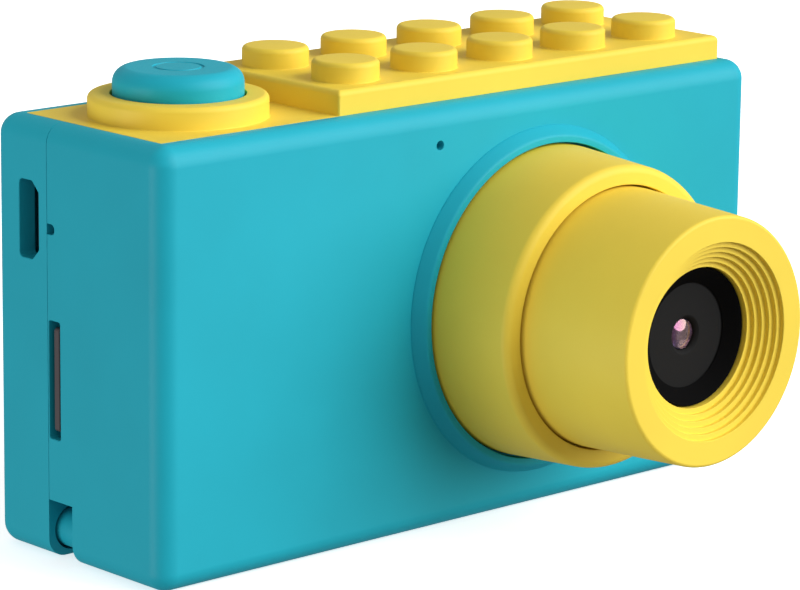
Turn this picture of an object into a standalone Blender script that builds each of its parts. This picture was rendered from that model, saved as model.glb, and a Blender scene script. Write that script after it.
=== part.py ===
"""Kids digital camera: two-part blue body, yellow deck with studs, round shutter and a two-tier lens.

Frame: +Z up, the lens looks along -Y, the origin is the middle of the body's flat base.
The body is BODY_WIDTH along X, BODY_DEPTH along Y and BODY_HEIGHT along Z.
"""

import math

import bmesh
import bpy
from mathutils import Vector

MM = 0.001

# Body shells
BODY_WIDTH = 85.4 * MM
BODY_DEPTH = 27.5 * MM
BODY_HEIGHT = 46.0 * MM
FRONT_SHELL_DEPTH = 18.4 * MM
WALL = 2.0 * MM
EDGE_RADIUS = 2.2 * MM
EDGE_SEGMENTS = 3

# Sides of a round piece, by its size
SIDES_LENS = 30
SIDES_BUTTON = 24
SIDES_KEY = 14
SIDES_BOSS = 10
SIDES_HOLE = 8

# Clearances
SEAM_GAP = 0.16 * MM
FIT_GAP = 0.3 * MM
RUN_GAP = 0.23 * MM
THREAD_GAP = 0.1 * MM
OVERLAP = 0.6 * MM

# Deck with its collar, block and studs
DECK_SIDE_INSET = 2.25 * MM
DECK_END_INSET = 2.75 * MM
DECK_THICKNESS = 2.0 * MM
COLLAR_END_MARGIN = 4.18 * MM
COLLAR_WALL = 2.56 * MM
COLLAR_HEIGHT = 2.39 * MM
BLOCK_FROM_COLLAR = 2.98 * MM
BLOCK_HEIGHT = 2.59 * MM
STUD_RADIUS = 3.59 * MM
STUD_HEIGHT = 2.16 * MM
STUD_PITCH = 11.2 * MM
STUD_END_MARGIN = 3.03 * MM
STUD_LEAST_MARGIN = 1.5 * MM
MOULD_FILLET = 0.6 * MM

# Shutter
CAP_RADIUS = 6.81 * MM
CAP_ABOVE_COLLAR = 2.7 * MM
CAP_FILLET = 1.6 * MM
CAP_SKIN = 1.6 * MM
SHUTTER_TRAVEL = 0.8 * MM
RETAINER_WIDTH = 0.9 * MM
RETAINER_HEIGHT = 1.0 * MM
STEM_RADIUS = 1.5 * MM
STEM_DEPTH = 1.9 * MM
PLUNGER_HEIGHT = 1.6 * MM
SHUTTER_SWITCH_SIZE = 6.0 * MM
SHUTTER_BOARD_DEPTH = BODY_HEIGHT * 0.1587
SHUTTER_LEAD_OFFSET = 7.0 * MM
POST_RADIUS = 1.8 * MM

# Lens
LENS_FROM_RIGHT = 32.55 * MM
LENS_ABOVE_CENTRE = 0.2 * MM
FLANGE_MARGIN = 1.96 * MM
FLANGE_RIM_MARGIN = 0.9 * MM
FLANGE_HEIGHT = 1.4 * MM
RING_RADIUS = 17.1 * MM
RING_DRAFT = 0.7 * MM
RING_FRONT = 11.63 * MM
RING_FACE = 1.8 * MM
RING_SHOULDER = 3.03 * MM
TUBE_DRAFT = 0.75 * MM
TUBE_FRONT = 25.9 * MM
TUBE_WALL = 2.4 * MM
TUBE_FLANGE = 2.4 * MM
FUNNEL_MARGIN = 3.57 * MM
FUNNEL_WIDTH = 3.0 * MM
FUNNEL_DEPTH = 3.0 * MM
FUNNEL_STEPS = 5
NECK_LENGTH = 2.6 * MM
BEZEL_WIDTH = 1.94 * MM
BEZEL_DEPTH = 1.19 * MM
BEZEL_LENGTH = 4.6 * MM
PLATE_LIP = 0.9 * MM
PLATE_THICKNESS = 0.8 * MM
LENS_RADIUS = 1.59 * MM
CELL_RADIUS = 3.2 * MM
CELL_LENGTH = 4.6 * MM
HOLDER_LENGTH = 3.8 * MM
BORE_THROUGH_SHELL = 8.5 * MM
SENSOR_BOARD_SIZE = 10.4 * MM

# Openings in the body
MIC_FROM_LENS = 15.15 * MM
MIC_BELOW_TOP = 4.1 * MM
MIC_HOLE_RADIUS = 0.5 * MM
USB_ABOVE_CARD = 16.3 * MM
USB_OPENING_LENGTH = 8.2 * MM
USB_OPENING_WIDTH = 3.2 * MM
USB_FROM_PARTING = 1.4 * MM
CARD_BELOW_CENTRE = 3.7 * MM
CARD_SLOT_LENGTH = 12.5 * MM
CARD_SLOT_WIDTH = 1.8 * MM
CARD_SLOT_FROM_PARTING = 0.2 * MM
CARD_WIDTH = 11.0 * MM
CARD_LENGTH = 15.0 * MM
CARD_THICKNESS = 0.85 * MM
CARD_FROM_SLOT_BACK = 0.45 * MM
CARD_RECESS = 0.3 * MM
RESET_NOTCH_WIDTH = 1.1 * MM
RESET_NOTCH_DEPTH = 1.2 * MM
RESET_BELOW_USB = 0.5 * MM
STRAP_LENGTH = 7.2 * MM
STRAP_HEIGHT = 6.45 * MM
STRAP_WIDTH = 3.9 * MM
STRAP_POST_RADIUS = 2.1 * MM
STRAP_POST_INSET = 3.2 * MM
STRAP_POST_HEIGHT = 2.9 * MM
STRAP_WALL = 1.6 * MM
STRAP_SOCKET_DEPTH = 1.6 * MM
GRILLE_HOLE_RADIUS = 0.7 * MM
GRILLE_RADIUS = 3.2 * MM

# Boards and electronics
BOARD_THICKNESS = 1.0 * MM
BOARD_MARGIN = 1.4 * MM
SWITCH_SIZE = 4.2 * MM
SWITCH_HEIGHT = 2.0 * MM
BATTERY_WIDTH = 24.0 * MM
BATTERY_THICKNESS = 5.6 * MM
BATTERY_BASE = 8.0 * MM
BATTERY_HEADROOM = 1.7 * MM
SPEAKER_RADIUS = 7.0 * MM
SPEAKER_THICKNESS = 3.5 * MM
LEAD_RADIUS = 0.55 * MM

# Screen
LCD_WIDTH = 45.0 * MM
LCD_END_MARGIN = 6.21 * MM
LCD_HEIGHT = BODY_HEIGHT - LCD_END_MARGIN * 2
LCD_THICKNESS = 2.3 * MM
LCD_FROM_RIGHT = 31.7 * MM
LCD_ABOVE_CENTRE = 0.4 * MM
WINDOW_BORDER = 1.5 * MM
WINDOW_THICKNESS = 0.9 * MM
VIEW_BORDER = 1.4 * MM

# Keys
KEY_TRAVEL = 0.5 * MM
KEY_PROUD = 0.6 * MM
KEY_FLANGE_HEIGHT = 1.0 * MM
KEY_NIB_RADIUS = 0.9 * MM
KEY_FILLET = 0.5 * MM
PAD_FROM_LEFT = 15.4 * MM
TOP_KEYS_FROM_LEFT = 16.1 * MM
PAD_OFFSET = BODY_HEIGHT * 0.161
KEY_RADIUS = PAD_OFFSET * 0.365
OK_KEY_RADIUS = PAD_OFFSET * 0.419
TOP_KEY_RADIUS = PAD_OFFSET * 0.284
KEY_FLANGE = PAD_OFFSET * 0.08
TOP_KEY_PITCH = PAD_OFFSET * 0.81

# Screws
SHANK_RADIUS = 0.95 * MM
HEAD_RADIUS = 1.9 * MM
HEAD_HEIGHT = 1.2 * MM
SHELL_SCREW_LENGTH = 12.0 * MM
SHORT_SCREW_LENGTH = 4.0 * MM
PILOT_DEPTH = 1.9 * MM
BOSS_RADIUS = 2.1 * MM
REAR_BOSS_RADIUS = 2.7 * MM

# Planes that everything is placed from
LEFT_X = -BODY_WIDTH / 2
RIGHT_X = BODY_WIDTH / 2
FRONT_Y = -BODY_DEPTH / 2
REAR_Y = BODY_DEPTH / 2
PARTING_Y = FRONT_Y + FRONT_SHELL_DEPTH
INNER_LEFT_X = LEFT_X + WALL
INNER_RIGHT_X = RIGHT_X - WALL
INNER_FRONT_Y = FRONT_Y + WALL
INNER_REAR_Y = REAR_Y - WALL - 0.2 * MM
CEILING_Z = BODY_HEIGHT - WALL
DECK_LEFT_X = LEFT_X + DECK_SIDE_INSET
DECK_RIGHT_X = RIGHT_X - DECK_SIDE_INSET
DECK_FRONT_Y = FRONT_Y + DECK_END_INSET
DECK_REAR_Y = REAR_Y - DECK_END_INSET
DECK_UNDER_Z = BODY_HEIGHT - DECK_THICKNESS
LENS_X = RIGHT_X - LENS_FROM_RIGHT
LENS_Z = BODY_HEIGHT / 2 + LENS_ABOVE_CENTRE
FLANGE_RADIUS = RING_RADIUS + FLANGE_MARGIN
FLANGE_RIM_RADIUS = RING_RADIUS + FLANGE_RIM_MARGIN
TUBE_RADIUS = RING_RADIUS - RING_SHOULDER
FUNNEL_RADIUS = TUBE_RADIUS - FUNNEL_MARGIN
FUNNEL_THROAT = FUNNEL_RADIUS - FUNNEL_WIDTH
BEZEL_MOUTH = FUNNEL_THROAT - BEZEL_WIDTH
TUBE_SCREW_CIRCLE = RING_RADIUS * 2 / 3
COLLAR_RADIUS = CAP_RADIUS + COLLAR_WALL
SHUTTER_X = LEFT_X + COLLAR_RADIUS + COLLAR_END_MARGIN
SHUTTER_HOLE_RADIUS = CAP_RADIUS + RUN_GAP
BOARD_FRONT_Y = PARTING_Y + 0.35 * MM
BOARD_REAR_Y = BOARD_FRONT_Y + BOARD_THICKNESS
BOARD_TOP_Z = CEILING_Z - 3.0 * MM
BOARD_BOTTOM_Z = WALL + BOARD_MARGIN
CARD_CENTRE_HEIGHT = BODY_HEIGHT / 2 - CARD_BELOW_CENTRE
USB_CENTRE_HEIGHT = CARD_CENTRE_HEIGHT + USB_ABOVE_CARD
LCD_CENTRE_X = RIGHT_X - LCD_FROM_RIGHT
LCD_CENTRE_Z = BODY_HEIGHT / 2 + LCD_ABOVE_CENTRE
PAD_CENTRE_X = LEFT_X + PAD_FROM_LEFT
PAD_CENTRE_Z = BODY_HEIGHT * 0.402
TOP_KEY_X = LEFT_X + TOP_KEYS_FROM_LEFT
TOP_KEY_Z = BODY_HEIGHT * 0.77

FORWARD = (math.radians(90), 0, 0)
REARWARD = (math.radians(-90), 0, 0)
LEFTWARD = (0, math.radians(-90), 0)
RIGHTWARD = (0, math.radians(90), 0)
UPWARD = (0, 0, 0)
DOWNWARD = (math.radians(180), 0, 0)
SMOOTH_ANGLE = math.radians(35)


def clear_scene():
    for item in list(bpy.data.objects):
        bpy.data.objects.remove(item, do_unlink=True)


def linear(red, green, blue):
    """Scene-linear colour of an 8-bit sRGB one."""
    values = []
    for channel in (red, green, blue):
        share = channel / 255
        values.append(share / 12.92 if share <= 0.04045 else ((share + 0.055) / 1.055) ** 2.4)
    return (*values, 1.0)


def material(name, colour, roughness, metallic=0.0, transmission=0.0):
    made = bpy.data.materials.new(name)
    made.use_nodes = True
    shader = made.node_tree.nodes["Principled BSDF"]
    shader.inputs["Base Color"].default_value = linear(*colour)
    shader.inputs["Roughness"].default_value = roughness
    shader.inputs["Metallic"].default_value = metallic
    shader.inputs["Transmission Weight"].default_value = transmission
    return made


# Shapes ----------------------------------------------------------------------


def object_from(name, shape, look=None, place=(0, 0, 0), turn=UPWARD):
    bmesh.ops.recalc_face_normals(shape, faces=shape.faces)
    mesh = bpy.data.meshes.new(name)
    shape.to_mesh(mesh)
    shape.free()
    made = bpy.data.objects.new(name, mesh)
    made.location = place
    made.rotation_euler = turn
    bpy.context.collection.objects.link(made)
    if look:
        mesh.materials.append(look)
    mesh.shade_smooth()
    mesh.set_sharp_from_angle(angle=SMOOTH_ANGLE)
    return made


def helper(made):
    made.hide_render = True
    made.display_type = "WIRE"
    return made


def add_block(shape, low, high):
    """One box between two opposite corners; returns its new corners."""
    made = bmesh.ops.create_cube(shape, size=1.0)["verts"]
    for corner in made:
        corner.co = [a + (b - a) * (share + 0.5) for a, b, share in zip(low, high, corner.co)]
    return made


def block(name, low, high, look=None, bevel=0.0, segments=2, keep=None):
    """A box, with every edge that keep() accepts rounded by bevel."""
    shape = bmesh.new()
    centre = (Vector(low) + Vector(high)) / 2
    add_block(shape, Vector(low) - centre, Vector(high) - centre)
    if bevel:
        edges = [
            edge
            for edge in shape.edges
            if keep is None or keep([corner.co + centre for corner in edge.verts])
        ]
        bmesh.ops.bevel(
            shape, geom=edges, offset=bevel, segments=segments, profile=0.5, affect="EDGES"
        )
    return object_from(name, shape, look, centre)


def arc(centre, radius, start, end, steps):
    """Points of an arc in the (radius, height) plane, angles in degrees."""
    points = []
    for step in range(steps + 1):
        angle = math.radians(start + (end - start) * step / steps)
        points.append((centre[0] + radius * math.cos(angle), centre[1] + radius * math.sin(angle)))
    return points


def add_turned(shape, profile, segments, offset=(0, 0, 0)):
    """Turns a closed (radius, height) outline once round the local Z axis."""
    centre = Vector(offset)
    rings = []
    for radius, height in profile:
        if radius < 1e-9:
            rings.append([shape.verts.new(centre + Vector((0, 0, height)))])
            continue
        ring = []
        for step in range(segments):
            angle = 2 * math.pi * step / segments
            point = Vector((radius * math.cos(angle), radius * math.sin(angle), height))
            ring.append(shape.verts.new(centre + point))
        rings.append(ring)
    for ring, following in zip(rings, rings[1:] + rings[:1]):
        if len(ring) == 1 and len(following) == 1:
            continue
        for step in range(segments):
            after = (step + 1) % segments
            corners = [ring[step % len(ring)], ring[after % len(ring)]]
            corners += [following[after % len(following)], following[step % len(following)]]
            shape.faces.new(list(dict.fromkeys(corners)))


def turned(name, profile, look=None, place=(0, 0, 0), turn=UPWARD, segments=24):
    shape = bmesh.new()
    add_turned(shape, profile, segments)
    return object_from(name, shape, look, place, turn)


def disc(name, radius, low, high, look=None, place=(0, 0, 0), turn=UPWARD, segments=24):
    profile = [(0, low), (radius, low), (radius, high), (0, high)]
    return turned(name, profile, look, place, turn, segments)


def smooth_points(route, per_stretch=2):
    """Points on a smooth curve through the route's own points."""
    points = [Vector(point) for point in route]
    ends = [points[0] * 2 - points[1]] + points + [points[-1] * 2 - points[-2]]
    found = []
    for before, start, end, after in zip(ends, ends[1:], ends[2:], ends[3:]):
        for step in range(per_stretch):
            share = step / per_stretch
            found.append(
                0.5
                * (
                    2 * start
                    + (end - before) * share
                    + (2 * before - 5 * start + 4 * end - after) * share**2
                    + (3 * start - before - 3 * end + after) * share**3
                )
            )
    return found + [points[-1]]


def lead(name, route, look):
    """A round wire pair in one sleeve, along a route given in millimetres."""
    curve = bpy.data.curves.new(name, "CURVE")
    curve.dimensions = "3D"
    curve.bevel_depth = LEAD_RADIUS
    curve.bevel_resolution = 2
    curve.use_fill_caps = True
    points = smooth_points([Vector(point) * MM for point in route])
    spline = curve.splines.new("POLY")
    spline.points.add(len(points) - 1)
    for target, point in zip(spline.points, points):
        target.co = (*point, 1)
    curve.materials.append(look)
    made = bpy.data.objects.new(name, curve)
    bpy.context.collection.objects.link(made)
    return made


def ribbon(name, route, left, right, thickness, look):
    """A flat cable between x = left and right, along a (y, z) route given in millimetres."""
    points = smooth_points([Vector((0, y, z)) * MM for y, z in route])
    shape = bmesh.new()
    rows = []
    for index, point in enumerate(points):
        before = points[max(index - 1, 0)]
        after = points[min(index + 1, len(points) - 1)]
        along = (after - before).normalized()
        normal = Vector((0, -along.z, along.y)) * thickness / 2
        row = []
        for x, side in ((left, 1), (right, 1), (right, -1), (left, -1)):
            row.append(shape.verts.new(Vector((x, 0, 0)) + point + normal * side))
        rows.append(row)
    for row, following in zip(rows, rows[1:]):
        for side in range(4):
            after = (side + 1) % 4
            shape.faces.new([row[side], row[after], following[after], following[side]])
    shape.faces.new(rows[0])
    shape.faces.new(rows[-1])
    return object_from(name, shape, look)


def boolean(target, tool, operation):
    step = target.modifiers.new(tool.name, "BOOLEAN")
    step.operation = operation
    step.object = helper(tool)
    step.solver = "EXACT"


def join(target, tool):
    boolean(target, tool, "UNION")


def cut(target, tool):
    boolean(target, tool, "DIFFERENCE")


# Materials -------------------------------------------------------------------

clear_scene()

BLUE = material("blue_plastic", (45, 182, 201), 0.42)
YELLOW = material("yellow_plastic", (250, 222, 84), 0.42)
BLACK = material("black_plastic", (20, 20, 21), 0.35)
GREY = material("dark_grey_plastic", (38, 38, 39), 0.5)
GLASS = material("lens_glass", (70, 50, 90), 0.05, 0.0, 0.6)
CLEAR = material("window_plastic", (24, 26, 30), 0.08, 0.0, 0.3)
PANEL = material("lcd_glass", (16, 18, 24), 0.15)
METAL = material("plated_steel", (190, 190, 192), 0.3, 1.0)
BOARD = material("circuit_board", (28, 92, 60), 0.45)
CHIP = material("chip_package", (30, 31, 34), 0.5)
CARD = material("card_plastic", (68, 62, 66), 0.4)
FLEX = material("flat_cable", (176, 108, 40), 0.4)
FOIL = material("battery_foil", (170, 172, 176), 0.35, 0.8)
WIRE = material("lead_sleeve", (60, 60, 64), 0.5)
WHITE = material("switch_plastic", (226, 226, 222), 0.5)


# Screws ----------------------------------------------------------------------

SHELL_SCREWS = {
    "shell_screw_left": (INNER_LEFT_X + 2.4 * MM, USB_CENTRE_HEIGHT - 6.8 * MM),
    "shell_screw_foot": (LEFT_X + STRAP_LENGTH + 4.2 * MM, WALL + 3.4 * MM),
    "shell_screw_corner": (INNER_RIGHT_X - 2.5 * MM, WALL + 3.4 * MM),
    "shell_screw_top": (INNER_RIGHT_X - 2.5 * MM, BODY_HEIGHT - 7.2 * MM),
}
SEAT_DEPTH = 2.0 * MM


def screw(name, length, place, turn):
    """A pan-head screw: its head seats at local height 0 and its shank runs down from there."""
    profile = [(0, -length), (SHANK_RADIUS * 0.5, -length), (SHANK_RADIUS, -length + SHANK_RADIUS)]
    profile += [(SHANK_RADIUS, 0), (HEAD_RADIUS, 0), (HEAD_RADIUS, HEAD_HEIGHT * 0.55)]
    profile += [(HEAD_RADIUS * 0.75, HEAD_HEIGHT), (0, HEAD_HEIGHT)]
    made = turned(name, profile, METAL, place, turn, SIDES_HOLE)
    arm = HEAD_RADIUS * 0.55
    half = HEAD_RADIUS * 0.16
    cross = bmesh.new()
    add_block(cross, (-arm, -half, HEAD_HEIGHT * 0.4), (arm, half, HEAD_HEIGHT * 2))
    first = object_from(f"{name}_slot_x", cross, None, place, turn)
    cross = bmesh.new()
    add_block(cross, (-half, -arm, HEAD_HEIGHT * 0.4), (half, arm, HEAD_HEIGHT * 2))
    second = object_from(f"{name}_slot_y", cross, None, place, turn)
    cut(made, first)
    cut(made, second)
    return made


# Front shell -----------------------------------------------------------------


def outer_edge(plane_y):
    """Accepts the edges of a shell's box that don't lie on its parting face."""
    return lambda ends: any(abs(end.y - plane_y) > 1e-6 for end in ends)


def strap_solid(name, low_y, high_y):
    low = (LEFT_X + WALL / 2, low_y, WALL / 2)
    high = (LEFT_X + STRAP_LENGTH + STRAP_WALL, high_y, STRAP_HEIGHT + STRAP_WALL)
    return block(name, low, high)


STRAP_POST = (LEFT_X + STRAP_POST_INSET, 0, STRAP_POST_HEIGHT)
STRAP_FRONT_Y = PARTING_Y - STRAP_WIDTH
MIC_X = LENS_X - MIC_FROM_LENS
MIC_Z = BODY_HEIGHT - MIC_BELOW_TOP
MIC_RADIUS = 1.5 * MM
MIC_LENGTH = 1.5 * MM
MIC_BOSS_WALL = 0.5 * MM
PILOT_LENGTH = 9.0 * MM
SPEAKER_Y = INNER_FRONT_Y + SPEAKER_RADIUS + 1.8 * MM
SPEAKER_Z = BODY_HEIGHT / 2
LEDGE_XS = (SHUTTER_X + COLLAR_RADIUS + 4.0 * MM, DECK_RIGHT_X - 13.0 * MM)
LEDGE_WIDTH = 5.0 * MM
LEDGE_DEPTH = 1.3 * MM
LEDGE_HEIGHT = 1.3 * MM
CARD_BACK_Y = PARTING_Y - CARD_SLOT_FROM_PARTING


def deck_opening(name):
    """The opening for the deck, down through the shells' ceiling whatever its thickness."""
    low = (DECK_LEFT_X, DECK_FRONT_Y, min(DECK_UNDER_Z - FIT_GAP, CEILING_Z - OVERLAP))
    high = (DECK_RIGHT_X, DECK_REAR_Y, BODY_HEIGHT + OVERLAP)
    return block(name, low, high)


def deck_ledges(name, wall_y, inner_y):
    """Blocks on a shell's wall that the deck rests on and its hooks catch under."""
    shape = bmesh.new()
    low_y, high_y = sorted((wall_y, inner_y))
    top = DECK_UNDER_Z - FIT_GAP
    for middle in LEDGE_XS:
        low = (middle - LEDGE_WIDTH / 2, low_y, top - LEDGE_HEIGHT)
        add_block(shape, low, (middle + LEDGE_WIDTH / 2, high_y, top))
    return object_from(name, shape)


def front_shell():
    low = (LEFT_X, FRONT_Y, 0)
    high = (RIGHT_X, PARTING_Y - SEAM_GAP / 2, BODY_HEIGHT)
    shell = block("front_shell", low, high, BLUE, EDGE_RADIUS, EDGE_SEGMENTS, outer_edge(high[1]))

    low = (INNER_LEFT_X, INNER_FRONT_Y, WALL)
    high = (INNER_RIGHT_X, PARTING_Y + OVERLAP, CEILING_Z)
    cut(shell, block("front_cavity", low, high))
    join(shell, strap_solid("strap_block", STRAP_FRONT_Y - STRAP_WALL, PARTING_Y - SEAM_GAP / 2))
    for name, (x, z) in SHELL_SCREWS.items():
        length = BOARD_FRONT_Y - FIT_GAP - INNER_FRONT_Y
        place = (x, INNER_FRONT_Y, z)
        join(shell, disc(f"{name}_boss", BOSS_RADIUS, -OVERLAP, length, None, place, REARWARD, SIDES_BOSS))
    place = (MIC_X, INNER_FRONT_Y, MIC_Z)
    radius = MIC_RADIUS + MIC_BOSS_WALL
    join(shell, disc("mic_boss", radius, -OVERLAP, MIC_LENGTH, None, place, REARWARD, SIDES_BOSS))

    cut(shell, deck_opening("deck_opening_front"))
    join(shell, deck_ledges("front_ledges", INNER_FRONT_Y - OVERLAP, DECK_FRONT_Y + LEDGE_DEPTH))
    place = (LENS_X, FRONT_Y, LENS_Z)
    cut(shell, disc("lens_hole", BORE_THROUGH_SHELL, -WALL * 2, WALL, None, place, FORWARD, SIDES_KEY))
    flange = [(RING_RADIUS + RUN_GAP, -OVERLAP), (FLANGE_RADIUS, -OVERLAP), (FLANGE_RADIUS, 0.2 * MM)]
    flange += [(FLANGE_RIM_RADIUS + 0.35 * MM, FLANGE_HEIGHT * 0.75), (FLANGE_RIM_RADIUS, FLANGE_HEIGHT)]
    flange += [(RING_RADIUS + RUN_GAP, FLANGE_HEIGHT)]
    join(shell, turned("lens_flange", flange, None, place, FORWARD, SIDES_LENS))
    for x, z in tube_screw_places():
        place = (x, INNER_FRONT_Y, z)
        radius = SHANK_RADIUS + FIT_GAP
        cut(shell, disc("tube_screw_hole", radius, -WALL * 2, WALL, None, place, REARWARD, SIDES_HOLE))
    place = (MIC_X, FRONT_Y, MIC_Z)
    cut(shell, disc("mic_hole", MIC_HOLE_RADIUS, -WALL, OVERLAP, None, place, FORWARD, SIDES_HOLE))
    cut(
        shell,
        disc("mic_seat", MIC_RADIUS + THREAD_GAP, -WALL * 2, -WALL, None, place, FORWARD, SIDES_BOSS),
    )
    for name, (x, z) in SHELL_SCREWS.items():
        place = (x, BOARD_FRONT_Y, z)
        radius = SHANK_RADIUS + THREAD_GAP
        cut(shell, disc(f"{name}_pilot", radius, -PILOT_LENGTH, OVERLAP, None, place, REARWARD, SIDES_HOLE))
    half = CARD_SLOT_LENGTH / 2
    low = (LEFT_X - OVERLAP, CARD_BACK_Y - CARD_SLOT_WIDTH, CARD_CENTRE_HEIGHT - half)
    high = (INNER_LEFT_X + OVERLAP, CARD_BACK_Y, CARD_CENTRE_HEIGHT + half)
    cut(shell, block("card_slot", low, high))
    reset_notch(shell)
    low = (LEFT_X - OVERLAP, STRAP_FRONT_Y, -OVERLAP)
    high = (LEFT_X + STRAP_LENGTH, PARTING_Y + OVERLAP, STRAP_HEIGHT)
    cut(shell, block("strap_pocket", low, high))
    for index, (y, z) in enumerate(grille_places()):
        place = (RIGHT_X, y, z)
        name = f"grille_{index}"
        radius = GRILLE_HOLE_RADIUS
        cut(shell, disc(name, radius, -WALL * 1.5, WALL, None, place, RIGHTWARD, SIDES_HOLE))
    length = PARTING_Y + 1.2 * MM - STRAP_FRONT_Y
    place = (STRAP_POST[0], STRAP_FRONT_Y, STRAP_POST[2])
    join(shell, disc("strap_post", STRAP_POST_RADIUS, -OVERLAP, length, None, place, REARWARD, SIDES_KEY))
    return shell


def reset_notch(shell):
    """A round-ended notch in the left wall that runs out at the parting line."""
    half = RESET_NOTCH_WIDTH / 2
    middle_y = PARTING_Y - RESET_NOTCH_DEPTH + half
    middle_z = USB_CENTRE_HEIGHT - RESET_BELOW_USB
    place = (LEFT_X, middle_y, middle_z)
    cut(shell, disc("reset_end", half, -WALL - OVERLAP, OVERLAP, None, place, LEFTWARD, SIDES_KEY))
    low = (LEFT_X - OVERLAP, middle_y, middle_z - half)
    high = (INNER_LEFT_X + OVERLAP, PARTING_Y + OVERLAP, middle_z + half)
    cut(shell, block("reset_run", low, high))


def round_places(centre, radius, angles):
    """Points on a circle round centre, at the given angles in degrees."""
    places = []
    for angle in angles:
        turn = math.radians(angle)
        places.append((centre[0] + radius * math.cos(turn), centre[1] + radius * math.sin(turn)))
    return places


def grille_places():
    centre = (SPEAKER_Y, SPEAKER_Z)
    return [centre] + round_places(centre, GRILLE_RADIUS, range(0, 360, 60))


def tube_screw_places():
    return round_places((LENS_X, LENS_Z), TUBE_SCREW_CIRCLE, (90, 210, 330))


# Rear shell ------------------------------------------------------------------

KEYS = {
    "up_key": (PAD_CENTRE_X, PAD_CENTRE_Z + PAD_OFFSET, KEY_RADIUS),
    "down_key": (PAD_CENTRE_X, PAD_CENTRE_Z - PAD_OFFSET, KEY_RADIUS),
    "left_key": (PAD_CENTRE_X + PAD_OFFSET, PAD_CENTRE_Z, KEY_RADIUS),
    "right_key": (PAD_CENTRE_X - PAD_OFFSET, PAD_CENTRE_Z, KEY_RADIUS),
    "ok_key": (PAD_CENTRE_X, PAD_CENTRE_Z, OK_KEY_RADIUS),
    "power_key": (TOP_KEY_X - TOP_KEY_PITCH, TOP_KEY_Z, TOP_KEY_RADIUS),
    "mode_key": (TOP_KEY_X, TOP_KEY_Z, TOP_KEY_RADIUS),
    "play_key": (TOP_KEY_X + TOP_KEY_PITCH, TOP_KEY_Z, TOP_KEY_RADIUS),
}


def screen_box(border, low_y, high_y):
    """Corners of a box round the LCD's outline, wider by border on each side."""
    half = LCD_WIDTH / 2 + border
    rise = LCD_HEIGHT / 2 + border
    low = (LCD_CENTRE_X - half, low_y, LCD_CENTRE_Z - rise)
    return low, (LCD_CENTRE_X + half, high_y, LCD_CENTRE_Z + rise)


def usb_opening(shell):
    """The port's opening: its two front corners are cut off at 45 degrees."""
    near = PARTING_Y + USB_FROM_PARTING
    far = near + USB_OPENING_WIDTH
    half = USB_OPENING_LENGTH / 2
    corner = 1.1 * MM
    outline = [(near, -half + corner), (near, half - corner), (near + corner, half)]
    outline += [(far - corner / 2, half), (far, half - corner / 2)]
    outline += [(far, -half + corner / 2), (far - corner / 2, -half), (near + corner, -half)]
    shape = bmesh.new()
    rings = []
    for x in (LEFT_X - OVERLAP, INNER_LEFT_X + OVERLAP):
        rings.append([shape.verts.new((x, y, USB_CENTRE_HEIGHT + z)) for y, z in outline])
    for index in range(len(outline)):
        after = (index + 1) % len(outline)
        shape.faces.new([rings[0][index], rings[0][after], rings[1][after], rings[1][index]])
    shape.faces.new(rings[0])
    shape.faces.new(rings[1])
    cut(shell, object_from("usb_opening", shape))


def rear_shell():
    low = (LEFT_X, PARTING_Y + SEAM_GAP / 2, 0)
    high = (RIGHT_X, REAR_Y, BODY_HEIGHT)
    shell = block("rear_shell", low, high, BLUE, EDGE_RADIUS, EDGE_SEGMENTS, outer_edge(low[1]))
    low = (INNER_LEFT_X, PARTING_Y - OVERLAP, WALL)
    high = (INNER_RIGHT_X, INNER_REAR_Y, CEILING_Z)
    cut(shell, block("rear_cavity", low, high))
    join(shell, strap_solid("strap_foot", PARTING_Y + SEAM_GAP / 2, PARTING_Y + 3.2 * MM))
    for name, (x, z) in SHELL_SCREWS.items():
        place = (x, BOARD_REAR_Y + FIT_GAP, z)
        length = INNER_REAR_Y - BOARD_REAR_Y
        join(shell, disc(f"{name}_seat", REAR_BOSS_RADIUS, 0, length, None, place, REARWARD, SIDES_BOSS))

    cut(shell, deck_opening("deck_opening_rear"))
    join(shell, deck_ledges("rear_ledges", INNER_REAR_Y + OVERLAP, DECK_REAR_Y - LEDGE_DEPTH))
    for name, (x, z) in SHELL_SCREWS.items():
        place = (x, REAR_Y, z)
        radius = SHANK_RADIUS + FIT_GAP
        depth = BODY_DEPTH / 2
        cut(shell, disc(f"{name}_hole", radius, -depth, OVERLAP, None, place, REARWARD, SIDES_HOLE))
        radius = HEAD_RADIUS + RUN_GAP
        cut(shell, disc(f"{name}_sink", radius, -SEAT_DEPTH, OVERLAP, None, place, REARWARD, SIDES_BOSS))
    for name, (x, z, radius) in KEYS.items():
        place = (x, REAR_Y, z)
        hole = radius + RUN_GAP
        cut(shell, disc(f"{name}_hole", hole, -WALL * 2, OVERLAP, None, place, REARWARD, SIDES_KEY))
    low, high = screen_box(WINDOW_BORDER + SEAM_GAP, REAR_Y - WINDOW_THICKNESS - SEAM_GAP, REAR_Y + OVERLAP)
    cut(shell, block("window_seat", low, high))
    low, high = screen_box(-VIEW_BORDER, INNER_REAR_Y - OVERLAP, REAR_Y)
    cut(shell, block("view_opening", low, high))
    usb_opening(shell)
    place = (STRAP_POST[0], PARTING_Y, STRAP_POST[2])
    radius = STRAP_POST_RADIUS + FIT_GAP
    cut(shell, disc("strap_socket", radius, -OVERLAP, STRAP_SOCKET_DEPTH, None, place, REARWARD, SIDES_KEY))
    return shell


# Deck and shutter ------------------------------------------------------------


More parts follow.
